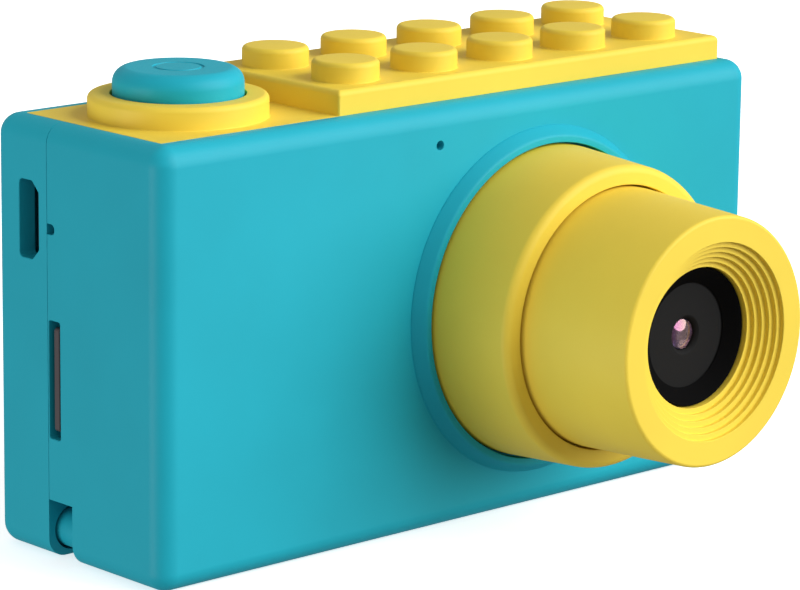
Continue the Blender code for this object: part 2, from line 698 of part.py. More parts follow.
def stud_centres():
    """As many columns of studs as fit on the block, counted from its right end."""
    right = DECK_RIGHT_X - SEAM_GAP - STUD_END_MARGIN - STUD_RADIUS
    left = SHUTTER_X + COLLAR_RADIUS + BLOCK_FROM_COLLAR + STUD_LEAST_MARGIN + STUD_RADIUS
    columns = int((right - left) / STUD_PITCH) + 1
    middle = (DECK_FRONT_Y + DECK_REAR_Y) / 2
    for column in range(columns):
        for side in (-0.5, 0.5):
            yield (right - column * STUD_PITCH, middle + side * STUD_PITCH)


def deck_middle():
    return (DECK_FRONT_Y + DECK_REAR_Y) / 2


def deck_hook(shape, middle, side, wall_y):
    """A leg beside a ledge, with a hook that reaches back under it."""
    inner = wall_y - side * (LEDGE_DEPTH + FIT_GAP)
    ledge_low = DECK_UNDER_Z - FIT_GAP - LEDGE_HEIGHT
    half = LEDGE_WIDTH / 2
    foot = ledge_low - FIT_GAP - 1.1 * MM
    thick = inner - side * 1.2 * MM
    low_y, high_y = sorted((inner, thick))
    add_block(shape, (middle - half, low_y, foot), (middle + half, high_y, DECK_UNDER_Z + OVERLAP))
    return inner, foot, ledge_low - FIT_GAP


def hooks():
    """The four legs under the deck, and the hooks at their feet."""
    legs = bmesh.new()
    toes = bmesh.new()
    for middle in LEDGE_XS:
        for side, wall_y in ((-1, DECK_FRONT_Y), (1, DECK_REAR_Y)):
            inner, foot, top = deck_hook(legs, middle, side, wall_y)
            low_y, high_y = sorted((inner - side * OVERLAP, inner + side * 1.0 * MM))
            half = LEDGE_WIDTH / 2 - 0.2 * MM
            low = (middle - half, low_y, foot + 0.1 * MM)
            add_block(toes, low, (middle + half, high_y, top))
    return object_from("deck_legs", legs), object_from("deck_toes", toes)


SHUTTER_BOARD_TOP = DECK_UNDER_Z - SHUTTER_BOARD_DEPTH
POST_OFFSET = CAP_RADIUS + POST_RADIUS
SHUTTER_BOARD_SCREWS = (-POST_OFFSET, POST_OFFSET)
SHUTTER_SCREW_Y = deck_middle() - CAP_RADIUS


def above_body(ends):
    return all(end.z > BODY_HEIGHT for end in ends)


def top_deck():
    low = (DECK_LEFT_X + SEAM_GAP, DECK_FRONT_Y + SEAM_GAP, DECK_UNDER_Z)
    high = (DECK_RIGHT_X - SEAM_GAP, DECK_REAR_Y - SEAM_GAP, BODY_HEIGHT)
    deck = block("top_deck", low, high, YELLOW)
    radius, height, fillet = COLLAR_RADIUS, COLLAR_HEIGHT, MOULD_FILLET
    collar = [(0, -OVERLAP), (radius, -OVERLAP)]
    collar += arc((radius - fillet, height - fillet), fillet, 0, 90, 2) + [(0, height)]
    place = (SHUTTER_X, deck_middle(), BODY_HEIGHT)
    join(deck, turned("collar", collar, None, place, UPWARD, SIDES_BUTTON))

    low = (SHUTTER_X + COLLAR_RADIUS + BLOCK_FROM_COLLAR, low[1], BODY_HEIGHT - OVERLAP)
    high = (high[0], high[1], BODY_HEIGHT + BLOCK_HEIGHT)
    join(deck, block("stud_block", low, high, None, MOULD_FILLET, 2, above_body))
    studs = bmesh.new()
    radius, height = STUD_RADIUS, STUD_HEIGHT
    stud = [(0, -OVERLAP), (radius, -OVERLAP)]
    stud += arc((radius - fillet, height - fillet), fillet, 0, 90, 2) + [(0, height)]
    for x, y in stud_centres():
        add_turned(studs, stud, SIDES_KEY, (x, y, BODY_HEIGHT + BLOCK_HEIGHT))
    join(deck, object_from("studs", studs))
    for tool in hooks():
        join(deck, tool)
    posts = bmesh.new()
    pilots = bmesh.new()
    length = DECK_UNDER_Z - SHUTTER_BOARD_TOP - FIT_GAP
    for offset in SHUTTER_BOARD_SCREWS:
        place = (SHUTTER_X + offset, SHUTTER_SCREW_Y, DECK_UNDER_Z)
        post = [(0, -length), (POST_RADIUS, -length), (POST_RADIUS, OVERLAP), (0, OVERLAP)]
        add_turned(posts, post, SIDES_HOLE, place)
        hole = SHANK_RADIUS + THREAD_GAP
        pilot = [(0, -length * 2), (hole, -length * 2), (hole, 0), (0, 0)]
        add_turned(pilots, pilot, SIDES_HOLE, place)
    join(deck, object_from("shutter_posts", posts))
    cut(deck, object_from("shutter_pilots", pilots))
    place = (SHUTTER_X, deck_middle(), DECK_UNDER_Z)
    hole = SHUTTER_HOLE_RADIUS
    cut(deck, disc("shutter_hole", hole, -OVERLAP, COLLAR_HEIGHT * 4, None, place, UPWARD, SIDES_BUTTON))
    return deck


def shutter():
    """The cap, the switch under it with its plunger, and their small board."""
    place = (SHUTTER_X, deck_middle(), DECK_UNDER_Z)
    top = DECK_THICKNESS + COLLAR_HEIGHT + CAP_ABOVE_COLLAR
    low = -FIT_GAP - RETAINER_HEIGHT
    stem_low = low - STEM_DEPTH
    outer = CAP_RADIUS + RETAINER_WIDTH
    inner = CAP_RADIUS - CAP_SKIN
    cap = [(0, stem_low), (STEM_RADIUS, stem_low), (STEM_RADIUS, top - CAP_SKIN)]
    cap += [(inner, top - CAP_SKIN)]
    cap += [(inner, low), (outer, low), (outer, -FIT_GAP), (CAP_RADIUS, -FIT_GAP)]
    cap += arc((CAP_RADIUS - CAP_FILLET, top - CAP_FILLET), CAP_FILLET, 0, 90, 3) + [(0, top)]
    turned("shutter_button", cap, BLUE, place, UPWARD, SIDES_BUTTON)

    switch_top = DECK_UNDER_Z + stem_low - FIT_GAP
    place = (SHUTTER_X, deck_middle(), switch_top)
    disc("shutter_plunger", STEM_RADIUS, -PLUNGER_HEIGHT, 0, BLACK, place, UPWARD, SIDES_HOLE)
    base = SHUTTER_BOARD_TOP + FIT_GAP
    half = SHUTTER_SWITCH_SIZE / 2
    body_top = switch_top - 0.9 * MM
    low = (SHUTTER_X - half, deck_middle() - half, base)
    high = (SHUTTER_X + half, deck_middle() + half, body_top)
    switch = block("shutter_switch", low, high, METAL, 0.3 * MM, 1)
    place = (SHUTTER_X, deck_middle(), body_top)
    well = STEM_RADIUS + FIT_GAP
    cut(switch, disc("plunger_well", well, -1.8 * MM, OVERLAP, None, place, UPWARD, SIDES_BOSS))

    board_low = SHUTTER_BOARD_TOP - BOARD_THICKNESS
    reach = POST_OFFSET + POST_RADIUS
    low = (SHUTTER_X - reach, SHUTTER_SCREW_Y - POST_RADIUS, board_low)
    high = (SHUTTER_X + reach, deck_middle() + half + 0.1 * MM, SHUTTER_BOARD_TOP)
    board = block("shutter_board", low, high, BOARD)
    for index, offset in enumerate(SHUTTER_BOARD_SCREWS):
        place = (SHUTTER_X + offset, SHUTTER_SCREW_Y, board_low)
        hole = SHANK_RADIUS + FIT_GAP
        cut(board, disc(f"board_hole_{index}", hole, -OVERLAP, WALL, None, place, UPWARD, SIDES_HOLE))
        place = (place[0], place[1], board_low - FIT_GAP)
        screw(f"shutter_board_screw_{index + 1}", SHORT_SCREW_LENGTH, place, DOWNWARD)


# Lens ------------------------------------------------------------------------


def lens_profiles():
    """Outlines as (radius, distance in front of the body's face)."""
    seat = FIT_GAP
    face_back = RING_FRONT - RING_FACE
    hollow = RING_RADIUS - RING_DRAFT - 1.2 * MM
    rim = RING_RADIUS - RING_DRAFT
    fillet = 0.8 * MM
    ring = [(hollow, seat), (RING_RADIUS, seat), (RING_RADIUS - 0.02 * MM, seat + 0.5 * MM)]
    ring += arc((rim - fillet, RING_FRONT - fillet), fillet, 0, 90, 3)
    ring += [(TUBE_RADIUS + RUN_GAP, RING_FRONT), (TUBE_RADIUS + RUN_GAP, face_back)]
    ring += [(hollow, face_back)]

    shoulder = hollow - RUN_GAP
    body = TUBE_RADIUS - 0.9 * MM
    tip = TUBE_RADIUS - TUBE_DRAFT
    inner = TUBE_RADIUS - TUBE_WALL
    fillet = MOULD_FILLET
    flange_top = face_back - FIT_GAP
    tube = [(BORE_THROUGH_SHELL, seat), (shoulder, seat), (shoulder, seat + TUBE_FLANGE)]
    tube += [(body, seat + TUBE_FLANGE), (body, flange_top - 1.5 * MM), (shoulder, flange_top - 1.5 * MM)]
    tube += [(shoulder, flange_top), (TUBE_RADIUS, flange_top), (TUBE_RADIUS, RING_FRONT)]
    tube += arc((tip - fillet, TUBE_FRONT - fillet), fillet, 0, 90, 3)
    tread = (FUNNEL_RADIUS - FUNNEL_THROAT) / FUNNEL_STEPS
    riser = FUNNEL_DEPTH / (FUNNEL_STEPS + 1)
    radius, height = FUNNEL_RADIUS, TUBE_FRONT
    tube.append((radius, height))
    for _ in range(FUNNEL_STEPS):
        height -= riser
        tube.append((radius, height))
        radius -= tread
        tube.append((radius, height))
    neck = TUBE_FRONT - FUNNEL_DEPTH - NECK_LENGTH
    tube += [(FUNNEL_THROAT, neck), (inner, neck - 1.5 * MM), (inner, seat + TUBE_FLANGE)]
    tube += [(BORE_THROUGH_SHELL, seat + TUBE_FLANGE)]
    return ring, tube


def lens():
    place = (LENS_X, FRONT_Y, LENS_Z)
    ring, tube = lens_profiles()
    turned("lens_base_ring", ring, YELLOW, place, FORWARD, SIDES_LENS)
    barrel = turned("lens_tube", tube, YELLOW, place, FORWARD, SIDES_LENS)
    for index, (x, z) in enumerate(tube_screw_places()):
        hole = SHANK_RADIUS + THREAD_GAP
        start = (x, FRONT_Y - FIT_GAP, z)
        name = f"tube_pilot_{index}"
        cut(barrel, disc(name, hole, -OVERLAP, PILOT_DEPTH, None, start, FORWARD, SIDES_HOLE))
        start = (x, INNER_FRONT_Y + FIT_GAP, z)
        screw(f"lens_screw_{index + 1}", SHORT_SCREW_LENGTH, start, REARWARD)

    outer = FUNNEL_THROAT - SEAM_GAP
    mouth = TUBE_FRONT - FUNNEL_DEPTH
    throat = mouth - BEZEL_DEPTH
    plate = BEZEL_MOUTH + PLATE_LIP
    bezel_back = mouth - BEZEL_LENGTH
    bezel = [(plate, bezel_back), (outer, bezel_back), (outer, mouth)]
    bezel += [(BEZEL_MOUTH, throat), (plate, throat)]
    turned("lens_bezel", bezel, BLACK, place, FORWARD, SIDES_BUTTON)
    plate -= THREAD_GAP
    plate_front = throat - FIT_GAP / 2
    plate_back = plate_front - PLATE_THICKNESS
    ring = [(LENS_RADIUS + THREAD_GAP, plate_back), (plate, plate_back), (plate, plate_front)]
    ring += [(LENS_RADIUS + 0.5 * MM, plate_front), (LENS_RADIUS + THREAD_GAP, plate_front - 0.4 * MM)]
    turned("lens_plate", ring, GREY, place, FORWARD, SIDES_KEY)
    cell_front = plate_back - FIT_GAP
    glass = [(0, cell_front + FIT_GAP), (LENS_RADIUS, cell_front + FIT_GAP)]
    glass += [(LENS_RADIUS, plate_front - 0.5 * MM), (LENS_RADIUS * 0.6, plate_front - 0.25 * MM)]
    glass += [(0, plate_front - 0.15 * MM)]
    turned("lens_glass", glass, GLASS, place, FORWARD, SIDES_BOSS)
    cell_back = cell_front - CELL_LENGTH
    disc("lens_cell", CELL_RADIUS, cell_back, cell_front, BLACK, place, FORWARD, SIDES_KEY)
    bore = CELL_RADIUS + FIT_GAP
    holder_back = cell_front - HOLDER_LENGTH
    holder = [(bore, holder_back), (plate, holder_back), (plate, cell_front), (bore, cell_front)]
    turned("lens_holder", holder, BLACK, place, FORWARD, SIDES_KEY)
    board_front = cell_back - FIT_GAP
    half = SENSOR_BOARD_SIZE / 2
    low = (LENS_X - half, FRONT_Y - board_front, LENS_Z - half)
    high = (LENS_X + half, FRONT_Y - board_front + BOARD_THICKNESS, LENS_Z + half)
    block("sensor_board", low, high, BOARD)
    start = high[1] / MM + 0.45
    stop = BOARD_FRONT_Y / MM - 0.45
    bore = FRONT_Y / MM
    drop = LENS_Z / MM
    route = [(start, drop + 1.0), (start + 0.6, drop - 2.2), (start + 3.6, drop - 4.6)]
    route += [((start + bore) / 2, drop - 5.4), (bore - 1.0, drop - 5.6), (bore + 6.0, drop - 5.8)]
    route += [(stop - 3.6, drop - 6.6), (stop - 0.9, drop - 8.8), (stop, drop - 12.0), (stop, drop - 14.0)]
    ribbon("sensor_flex", route, LENS_X - 3.5 * MM, LENS_X + 3.5 * MM, 0.3 * MM, FLEX)


# Boards, port, card and power ------------------------------------------------


def main_board():
    low = (INNER_LEFT_X + 0.3 * MM, BOARD_FRONT_Y, BOARD_BOTTOM_Z)
    high = (INNER_RIGHT_X - 0.4 * MM, BOARD_REAR_Y, BOARD_TOP_Z)
    board = block("main_board", low, high, BOARD)
    for name, (x, z) in SHELL_SCREWS.items():
        place = (x, BOARD_FRONT_Y, z)
        hole = SHANK_RADIUS + FIT_GAP
        cut(board, disc(f"{name}_pass", hole, -WALL, WALL, None, place, REARWARD, SIDES_HOLE))
    low = (LEFT_X, BOARD_FRONT_Y - WALL, 0)
    high = (LEFT_X + STRAP_LENGTH + 1.9 * MM, BOARD_REAR_Y + WALL, STRAP_HEIGHT + 1.9 * MM)
    cut(board, block("board_corner", low, high))

    back = BOARD_FRONT_Y - FIT_GAP
    low = (LENS_X + 8.0 * MM, back - 1.4 * MM, 9.0 * MM)
    block("processor_chip", low, (low[0] + 12.0 * MM, back, low[2] + 12.0 * MM), CHIP, 0.2 * MM, 1)
    low = (LENS_X + 8.0 * MM, back - 1.0 * MM, 26.0 * MM)
    block("memory_chip", low, (low[0] + 8.0 * MM, back, low[2] + 6.0 * MM), CHIP, 0.2 * MM, 1)


def usb_port():
    near = PARTING_Y + USB_FROM_PARTING + 0.15 * MM
    far = near + USB_OPENING_WIDTH - 0.3 * MM
    half = USB_OPENING_LENGTH / 2 - 0.35 * MM
    mouth = INNER_LEFT_X + FIT_GAP
    skin = 0.35 * MM
    low = (mouth, near, USB_CENTRE_HEIGHT - half)
    high = (mouth + 5.0 * MM, far, USB_CENTRE_HEIGHT + half)
    port = block("usb_port", low, high, METAL)
    low = (mouth - OVERLAP, near + skin, USB_CENTRE_HEIGHT - half + skin)
    high = (mouth + 4.5 * MM, far - skin, USB_CENTRE_HEIGHT + half - skin)
    cut(port, block("port_hollow", low, high))
    base = far - skin - 1.3 * MM
    low = (mouth + 0.6 * MM, base, USB_CENTRE_HEIGHT - half * 0.55)
    high = (mouth + 4.4 * MM, base + 0.6 * MM, USB_CENTRE_HEIGHT + half * 0.55)
    block("usb_tongue", low, high, BLACK)


def card_and_socket():
    back = BOARD_FRONT_Y - FIT_GAP
    card_low_y = CARD_BACK_Y - CARD_FROM_SLOT_BACK - CARD_THICKNESS
    card_x = LEFT_X + CARD_RECESS
    half = CARD_WIDTH / 2
    low = (card_x, card_low_y, CARD_CENTRE_HEIGHT - half)
    high = (card_x + CARD_LENGTH, card_low_y + CARD_THICKNESS, CARD_CENTRE_HEIGHT + half)
    block("memory_card", low, high, CARD)
    low = (INNER_LEFT_X + 0.8 * MM, card_low_y - 0.55 * MM, CARD_CENTRE_HEIGHT - half - 1.4 * MM)
    high = (card_x + CARD_LENGTH + 1.6 * MM, back, CARD_CENTRE_HEIGHT + half + 1.4 * MM)
    socket = block("card_socket", low, high, METAL)
    gap = 0.15 * MM
    low = (low[0] - OVERLAP, card_low_y - gap, CARD_CENTRE_HEIGHT - half - gap)
    far_x = card_x + CARD_LENGTH + 0.8 * MM
    high = (far_x, card_low_y + CARD_THICKNESS + gap, CARD_CENTRE_HEIGHT + half + gap)
    cut(socket, block("card_way", low, high))


def battery_and_sound():
    left = SHELL_SCREWS["shell_screw_left"][0] + BOSS_RADIUS + 0.7 * MM
    top = SHUTTER_BOARD_TOP - BOARD_THICKNESS - BATTERY_HEADROOM
    low = (left, INNER_FRONT_Y + 0.5 * MM, BATTERY_BASE)
    high = (left + BATTERY_WIDTH, low[1] + BATTERY_THICKNESS, top)
    block("battery_cell", low, high, FOIL, 1.0 * MM, 2)
    x = high[0] / MM - 3.0
    y = (low[1] + high[1]) / 2 / MM
    z = high[2] / MM
    stop = BOARD_FRONT_Y / MM - 0.3
    route = [(x, y, z + 0.3), (x, y + 0.2, z + 1.9), (x + 0.4, y + 2.2, z + 3.2)]
    route += [(x + 1.0, y + 5.6, z + 3.7), (x + 1.5, y + 9.0, z + 3.3), (x + 1.8, stop - 1.5, z + 2.5)]
    route += [(x + 1.8, stop, z + 2.2)]
    lead("battery_lead", route, WIRE)

    outer = INNER_RIGHT_X - FIT_GAP
    place = (outer, SPEAKER_Y, SPEAKER_Z)
    rim = SPEAKER_RADIUS
    deep = -SPEAKER_THICKNESS
    cone = [(0, deep), (rim * 0.55, deep), (rim * 0.6, deep * 0.5), (rim, deep * 0.4), (rim, 0)]
    cone += [(rim * 0.86, 0), (rim * 0.8, -0.5 * MM), (0, -0.8 * MM)]
    turned("speaker", cone, GREY, place, RIGHTWARD, SIDES_KEY)
    x = outer / MM - SPEAKER_THICKNESS / MM - 0.3
    y = SPEAKER_Y / MM
    z = SPEAKER_Z / MM
    route = [(x, y, z), (x - 1.4, y + 0.3, z + 0.3), (x - 2.8, y + 2.0, z + 1.0)]
    route += [(x - 3.6, y + 4.4, z + 1.6), (x - 3.9, stop - 2.2, z + 2.0), (x - 3.9, stop, z + 2.0)]
    lead("speaker_lead", route, WIRE)

    place = (MIC_X, INNER_FRONT_Y, MIC_Z)
    disc("microphone", MIC_RADIUS, 0.05 * MM, MIC_LENGTH, METAL, place, REARWARD, SIDES_BOSS)
    x = MIC_X / MM
    y = (INNER_FRONT_Y + MIC_LENGTH) / MM + 0.3
    z = MIC_Z / MM
    route = [(x, y, z), (x, y + 1.8, z - 0.5), (x + 0.3, y + 5.0, z - 2.0), (x + 0.8, y + 9.0, z - 3.0)]
    route += [(x + 1.0, stop - 2.0, z - 3.6), (x + 1.0, stop, z - 3.6)]
    lead("microphone_lead", route, WIRE)

    x = (SHUTTER_X + SHUTTER_LEAD_OFFSET) / MM
    y = deck_middle() / MM
    z = (SHUTTER_BOARD_TOP - BOARD_THICKNESS) / MM - 0.3
    route = [(x, y, z), (x, y + 0.2, z - 1.0), (x + 0.2, y + 1.4, z - 2.2), (x + 0.5, stop - 1.6, z - 3.0)]
    route += [(x + 0.5, stop, z - 3.2)]
    lead("shutter_lead", route, WIRE)


def reset_switch():
    back = BOARD_FRONT_Y - FIT_GAP
    low = (INNER_LEFT_X + 0.5 * MM, back - 1.2 * MM, USB_CENTRE_HEIGHT - 2.0 * MM)
    high = (low[0] + 2.6 * MM, back, low[2] + 3.0 * MM)
    block("reset_switch", low, high, WHITE, 0.25 * MM, 1)


# Screen and keys -------------------------------------------------------------


def screen():
    low, high = screen_box(WINDOW_BORDER, REAR_Y - WINDOW_THICKNESS, REAR_Y - 0.05 * MM)
    block("screen_window", low, high, CLEAR)
    back = INNER_REAR_Y - FIT_GAP
    front = back - LCD_THICKNESS
    low, high = screen_box(0, front, back)
    block("lcd_panel", low, high, PANEL)
    low, high = screen_box(0, BOARD_REAR_Y + FIT_GAP, front - FIT_GAP)
    frame = block("lcd_frame", low, high, METAL)
    low, high = screen_box(-2.0 * MM, BOARD_REAR_Y, front)
    cut(frame, block("frame_hollow", low, high))
    board = BOARD_REAR_Y / MM
    edge = (LCD_CENTRE_Z - LCD_HEIGHT / 2) / MM - 0.3
    panel = back / MM - 0.8
    route = [(panel, edge), (panel - 0.1, edge - 1.1), (panel - 0.9, edge - 2.1), (panel - 2.1, edge - 2.4)]
    route += [(board + 1.1, edge - 2.0), (board + 0.55, edge - 1.2), (board + 0.45, edge)]
    ribbon("lcd_flex", route, LCD_CENTRE_X - 6.0 * MM, LCD_CENTRE_X + 6.0 * MM, 0.25 * MM, FLEX)


def keys():
    """Round caps through the rear wall, each over its own switch on the main board."""
    back = INNER_REAR_Y - FIT_GAP
    switch_top = BOARD_REAR_Y + FIT_GAP + SWITCH_HEIGHT
    half = SWITCH_SIZE / 2
    for name, (x, z, radius) in KEYS.items():
        top = REAR_Y + KEY_PROUD - back
        nib = switch_top - KEY_TRAVEL - back
        fillet = KEY_FILLET
        cap = [(0, nib), (KEY_NIB_RADIUS, nib), (KEY_NIB_RADIUS, -KEY_FLANGE_HEIGHT)]
        cap += [(radius + KEY_FLANGE, -KEY_FLANGE_HEIGHT), (radius + KEY_FLANGE, 0), (radius, 0)]
        cap += arc((radius - fillet, top - fillet), fillet, 0, 90, 2) + [(0, top)]
        turned(name, cap, YELLOW, (x, back, z), REARWARD, SIDES_KEY)
        low = (x - half, BOARD_REAR_Y + FIT_GAP, z - half)
        high = (x + half, switch_top, z + half)
        switch = block(f"{name}_switch", low, high, METAL)
        place = (x, switch_top, z)
        well = KEY_NIB_RADIUS + FIT_GAP
        cut(switch, disc(f"{name}_well", well, -KEY_TRAVEL * 3, OVERLAP, None, place, REARWARD, SIDES_HOLE))


def shell_screws():
    for name, (x, z) in SHELL_SCREWS.items():
        place = (x, REAR_Y - SEAT_DEPTH + THREAD_GAP, z)
        screw(name, SHELL_SCREW_LENGTH, place, REARWARD)


front_shell()
rear_shell()
top_deck()
shutter()
lens()
main_board()
usb_port()
card_and_socket()
battery_and_sound()
reset_switch()
screen()
keys()
shell_screws()
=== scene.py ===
"""Looks of the kids digital camera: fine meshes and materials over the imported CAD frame."""

import math

import bmesh
import bpy
from mathutils import Matrix, Vector

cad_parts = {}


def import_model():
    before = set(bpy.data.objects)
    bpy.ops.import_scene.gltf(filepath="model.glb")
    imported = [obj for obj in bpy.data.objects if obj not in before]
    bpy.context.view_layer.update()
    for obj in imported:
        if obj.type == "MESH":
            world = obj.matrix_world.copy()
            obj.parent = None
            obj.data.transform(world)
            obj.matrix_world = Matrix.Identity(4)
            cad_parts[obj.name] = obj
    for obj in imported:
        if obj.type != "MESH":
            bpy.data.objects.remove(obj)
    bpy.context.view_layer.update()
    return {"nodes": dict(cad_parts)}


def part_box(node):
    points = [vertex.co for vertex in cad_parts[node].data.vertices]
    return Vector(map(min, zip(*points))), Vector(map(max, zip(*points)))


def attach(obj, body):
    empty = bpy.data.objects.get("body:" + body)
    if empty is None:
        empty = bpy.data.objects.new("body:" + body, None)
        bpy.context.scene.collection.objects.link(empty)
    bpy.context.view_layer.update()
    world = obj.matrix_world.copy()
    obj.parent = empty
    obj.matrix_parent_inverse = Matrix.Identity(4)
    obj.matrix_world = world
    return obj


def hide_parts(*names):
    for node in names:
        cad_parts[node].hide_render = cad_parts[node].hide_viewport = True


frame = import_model()

MM = 0.001
SMOOTH_ANGLE = math.radians(32)
SIDES_LARGE = 160
SIDES_MEDIUM = 96
SIDES_SMALL = 48
OVERLAP = 0.6 * MM

# --- Places read from the frame, and the directions pieces are drawn in ---

REAR_LOW, REAR_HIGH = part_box("rear_shell")
SEAM_GAP = 0.16 * MM
FINE_SEAM = 0.05 * MM
LEFT_X, RIGHT_X = REAR_LOW.x, REAR_HIGH.x
REAR_Y = REAR_HIGH.y
FRONT_Y = -REAR_Y
TOP_Z = REAR_HIGH.z
PARTING_Y = REAR_LOW.y - SEAM_GAP / 2
EDGE_RADIUS = 2.2 * MM
WALL = 2.0 * MM

TUBE_LOW, TUBE_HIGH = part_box("lens_tube")
LENS_X = (TUBE_LOW.x + TUBE_HIGH.x) / 2
LENS_Z = (TUBE_LOW.z + TUBE_HIGH.z) / 2
LENS_PLACE = (LENS_X, FRONT_Y, LENS_Z)
TUBE_FRONT = FRONT_Y - TUBE_LOW.y
RING_LOW, RING_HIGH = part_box("lens_base_ring")
RING_FRONT = FRONT_Y - RING_LOW.y
RING_RADIUS = (RING_HIGH.x - RING_LOW.x) / 2
FLANGE_HEIGHT = FRONT_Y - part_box("front_shell")[0].y

CAP_LOW, CAP_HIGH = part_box("shutter_button")
SHUTTER_X = (CAP_LOW.x + CAP_HIGH.x) / 2
SHUTTER_Y = (CAP_LOW.y + CAP_HIGH.y) / 2
DECK_LOW, DECK_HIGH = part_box("top_deck")
DECK_SEAM = 0.05 * MM
DECK_GAP = 0.16 * MM
OPENING_LOW = (DECK_LOW.x - DECK_GAP, DECK_LOW.y - DECK_GAP)
OPENING_HIGH = (DECK_HIGH.x + DECK_GAP, DECK_HIGH.y + DECK_GAP)

FORWARD = Matrix.Rotation(math.radians(90), 4, "X")
REARWARD = Matrix.Rotation(math.radians(-90), 4, "X")
RIGHTWARD = Matrix.Rotation(math.radians(90), 4, "Y")
UPWARD = Matrix.Identity(4)
# These turn an outline drawn in (x, z) or in (y, z), with its height along +Y, +X or -X.
UPRIGHT = Matrix(((1, 0, 0, 0), (0, 0, 1, 0), (0, 1, 0, 0), (0, 0, 0, 1)))
ALONG_X = Matrix(((0, 0, 1, 0), (1, 0, 0, 0), (0, 1, 0, 0), (0, 0, 0, 1)))
AGAINST_X = Matrix(((0, 0, -1, 0), (1, 0, 0, 0), (0, 1, 0, 0), (0, 0, 0, 1)))


def node_middle(name):
    low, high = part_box(name)
    return (low + high) / 2


def node_place(name, y):
    """The node's middle, moved to the given y."""
    middle = node_middle(name)
    return (middle.x, y, middle.z)


# --- Mesh work ---


def linked(name, data):
    made = bpy.data.objects.new(name, data)
    bpy.context.scene.collection.objects.link(made)
    return made


def object_from(name, shape, place=(0, 0, 0), turn=UPWARD):
    """An object at the frame's origin whose mesh is the shape, turned and then placed."""
    bmesh.ops.transform(shape, matrix=Matrix.Translation(place) @ turn, verts=shape.verts)
    bmesh.ops.recalc_face_normals(shape, faces=shape.faces)
    mesh = bpy.data.meshes.new(name)
    shape.to_mesh(mesh)
    shape.free()
    return linked(name, mesh)


def arc(centre, radius, start, end, steps):
    points = []
    for step in range(steps + 1):
        angle = math.radians(start + (end - start) * step / steps)
        points.append((centre[0] + radius * math.cos(angle), centre[1] + radius * math.sin(angle)))
    return points


def turned(name, profile, place, turn=UPWARD, segments=SIDES_MEDIUM):
    """Turns a closed (radius, height) outline once round the local Z axis."""
    shape = bmesh.new()
    rings = []
    pairs = zip(profile, profile[-1:] + profile[:-1])
    for radius, height in [point for point, before in pairs if math.dist(point, before) > 1e-7]:
        if radius < 1e-9:
            rings.append([shape.verts.new((0, 0, height))])
            continue
        ring = []
        for step in range(segments):
            angle = 2 * math.pi * step / segments
            point = (radius * math.cos(angle), radius * math.sin(angle), height)
            ring.append(shape.verts.new(point))
        rings.append(ring)
    for ring, following in zip(rings, rings[1:] + rings[:1]):
        if len(ring) == 1 and len(following) == 1:
            continue
        for step in range(segments):
            after = (step + 1) % segments
            corners = [ring[step % len(ring)], ring[after % len(ring)]]
            corners += [following[after % len(following)], following[step % len(following)]]
            shape.faces.new(list(dict.fromkeys(corners)))
    return object_from(name, shape, place, turn)


def grown(outline, by):
    """The outline with each of its sides moved out by the given distance."""
    pairs = zip(outline, outward(outline))
    return [(x + along_x * by, y + along_y * by) for (x, y), (along_x, along_y) in pairs]


def add_layers(shape, layers):
    """A solid through outlines of one length, each given with its height."""
    rings = [[shape.verts.new((x, y, height)) for x, y in outline] for height, outline in layers]
    for ring, following in zip(rings, rings[1:]):
        for index in range(len(ring)):
            after = (index + 1) % len(ring)
            shape.faces.new([ring[index], ring[after], following[after], following[index]])
    shape.faces.new(rings[0])
    shape.faces.new(rings[-1])


def outward(outline):
    """The direction in which each point moves for its two sides to move out by one."""
    moves = []
    count = len(outline)
    area = sum(
        outline[i][0] * outline[(i + 1) % count][1] - outline[(i + 1) % count][0] * outline[i][1]
        for i in range(count)
    )
    sign = 1 if area > 0 else -1
    for index in range(count):
        here = Vector(outline[index])
        before = (here - Vector(outline[index - 1])).normalized()
        after = (Vector(outline[(index + 1) % count]) - here).normalized()
        first = Vector((before.y, -before.x)) * sign
        second = Vector((after.y, -after.x)) * sign
        middle = (first + second).normalized()
        moves.append(tuple(middle / max(middle.dot(first), 0.3)))
    return moves


def prism(name, outline, levels, place=(0, 0, 0), turn=UPWARD):
    """Layers of one outline, each level being (height, how far the outline is grown)."""
    shape = bmesh.new()
    add_layers(shape, [(height, grown(outline, by)) for height, by in levels])
    return object_from(name, shape, place, turn)


def upright_prism(name, outline, levels, y):
    """Layers of an (x, z) outline; heights run along +Y from y."""
    return prism(name, outline, levels, (0, y, 0), UPRIGHT)


def side_prism(name, outline, low_x, high_x):
    """A (y, z) outline drawn out along X."""
    return prism(name, outline, [(low_x, 0), (high_x, 0)], (0, 0, 0), ALONG_X)


def rounded(corners, steps=6):
    """A closed outline from (x, y, radius) corners, each one rounded."""
    points = []
    count = len(corners)
    for index in range(count):
        x, y, radius = corners[index]
        here = Vector((x, y))
        if radius <= 0:
            points.append((x, y))
            continue
        back = (Vector(corners[index - 1][:2]) - here).normalized()
        ahead = (Vector(corners[(index + 1) % count][:2]) - here).normalized()
        half = math.acos(max(-1, min(1, back.dot(ahead)))) / 2
        centre = here + (back + ahead).normalized() * radius / math.sin(half)
        start = here + back * radius / math.tan(half) - centre
        end = here + ahead * radius / math.tan(half) - centre
        first = math.atan2(start.y, start.x)
        sweep = (math.atan2(end.y, end.x) - first + math.pi) % (2 * math.pi) - math.pi
        for step in range(steps + 1):
            angle = first + sweep * step / steps
            across = centre.x + radius * math.cos(angle)
            points.append((across, centre.y + radius * math.sin(angle)))
    return points


def rectangle(low, high, radius, steps=6):
    corners = [(low[0], low[1]), (high[0], low[1]), (high[0], high[1]), (low[0], high[1])]
    return rounded([(x, y, radius) for x, y in corners], steps)


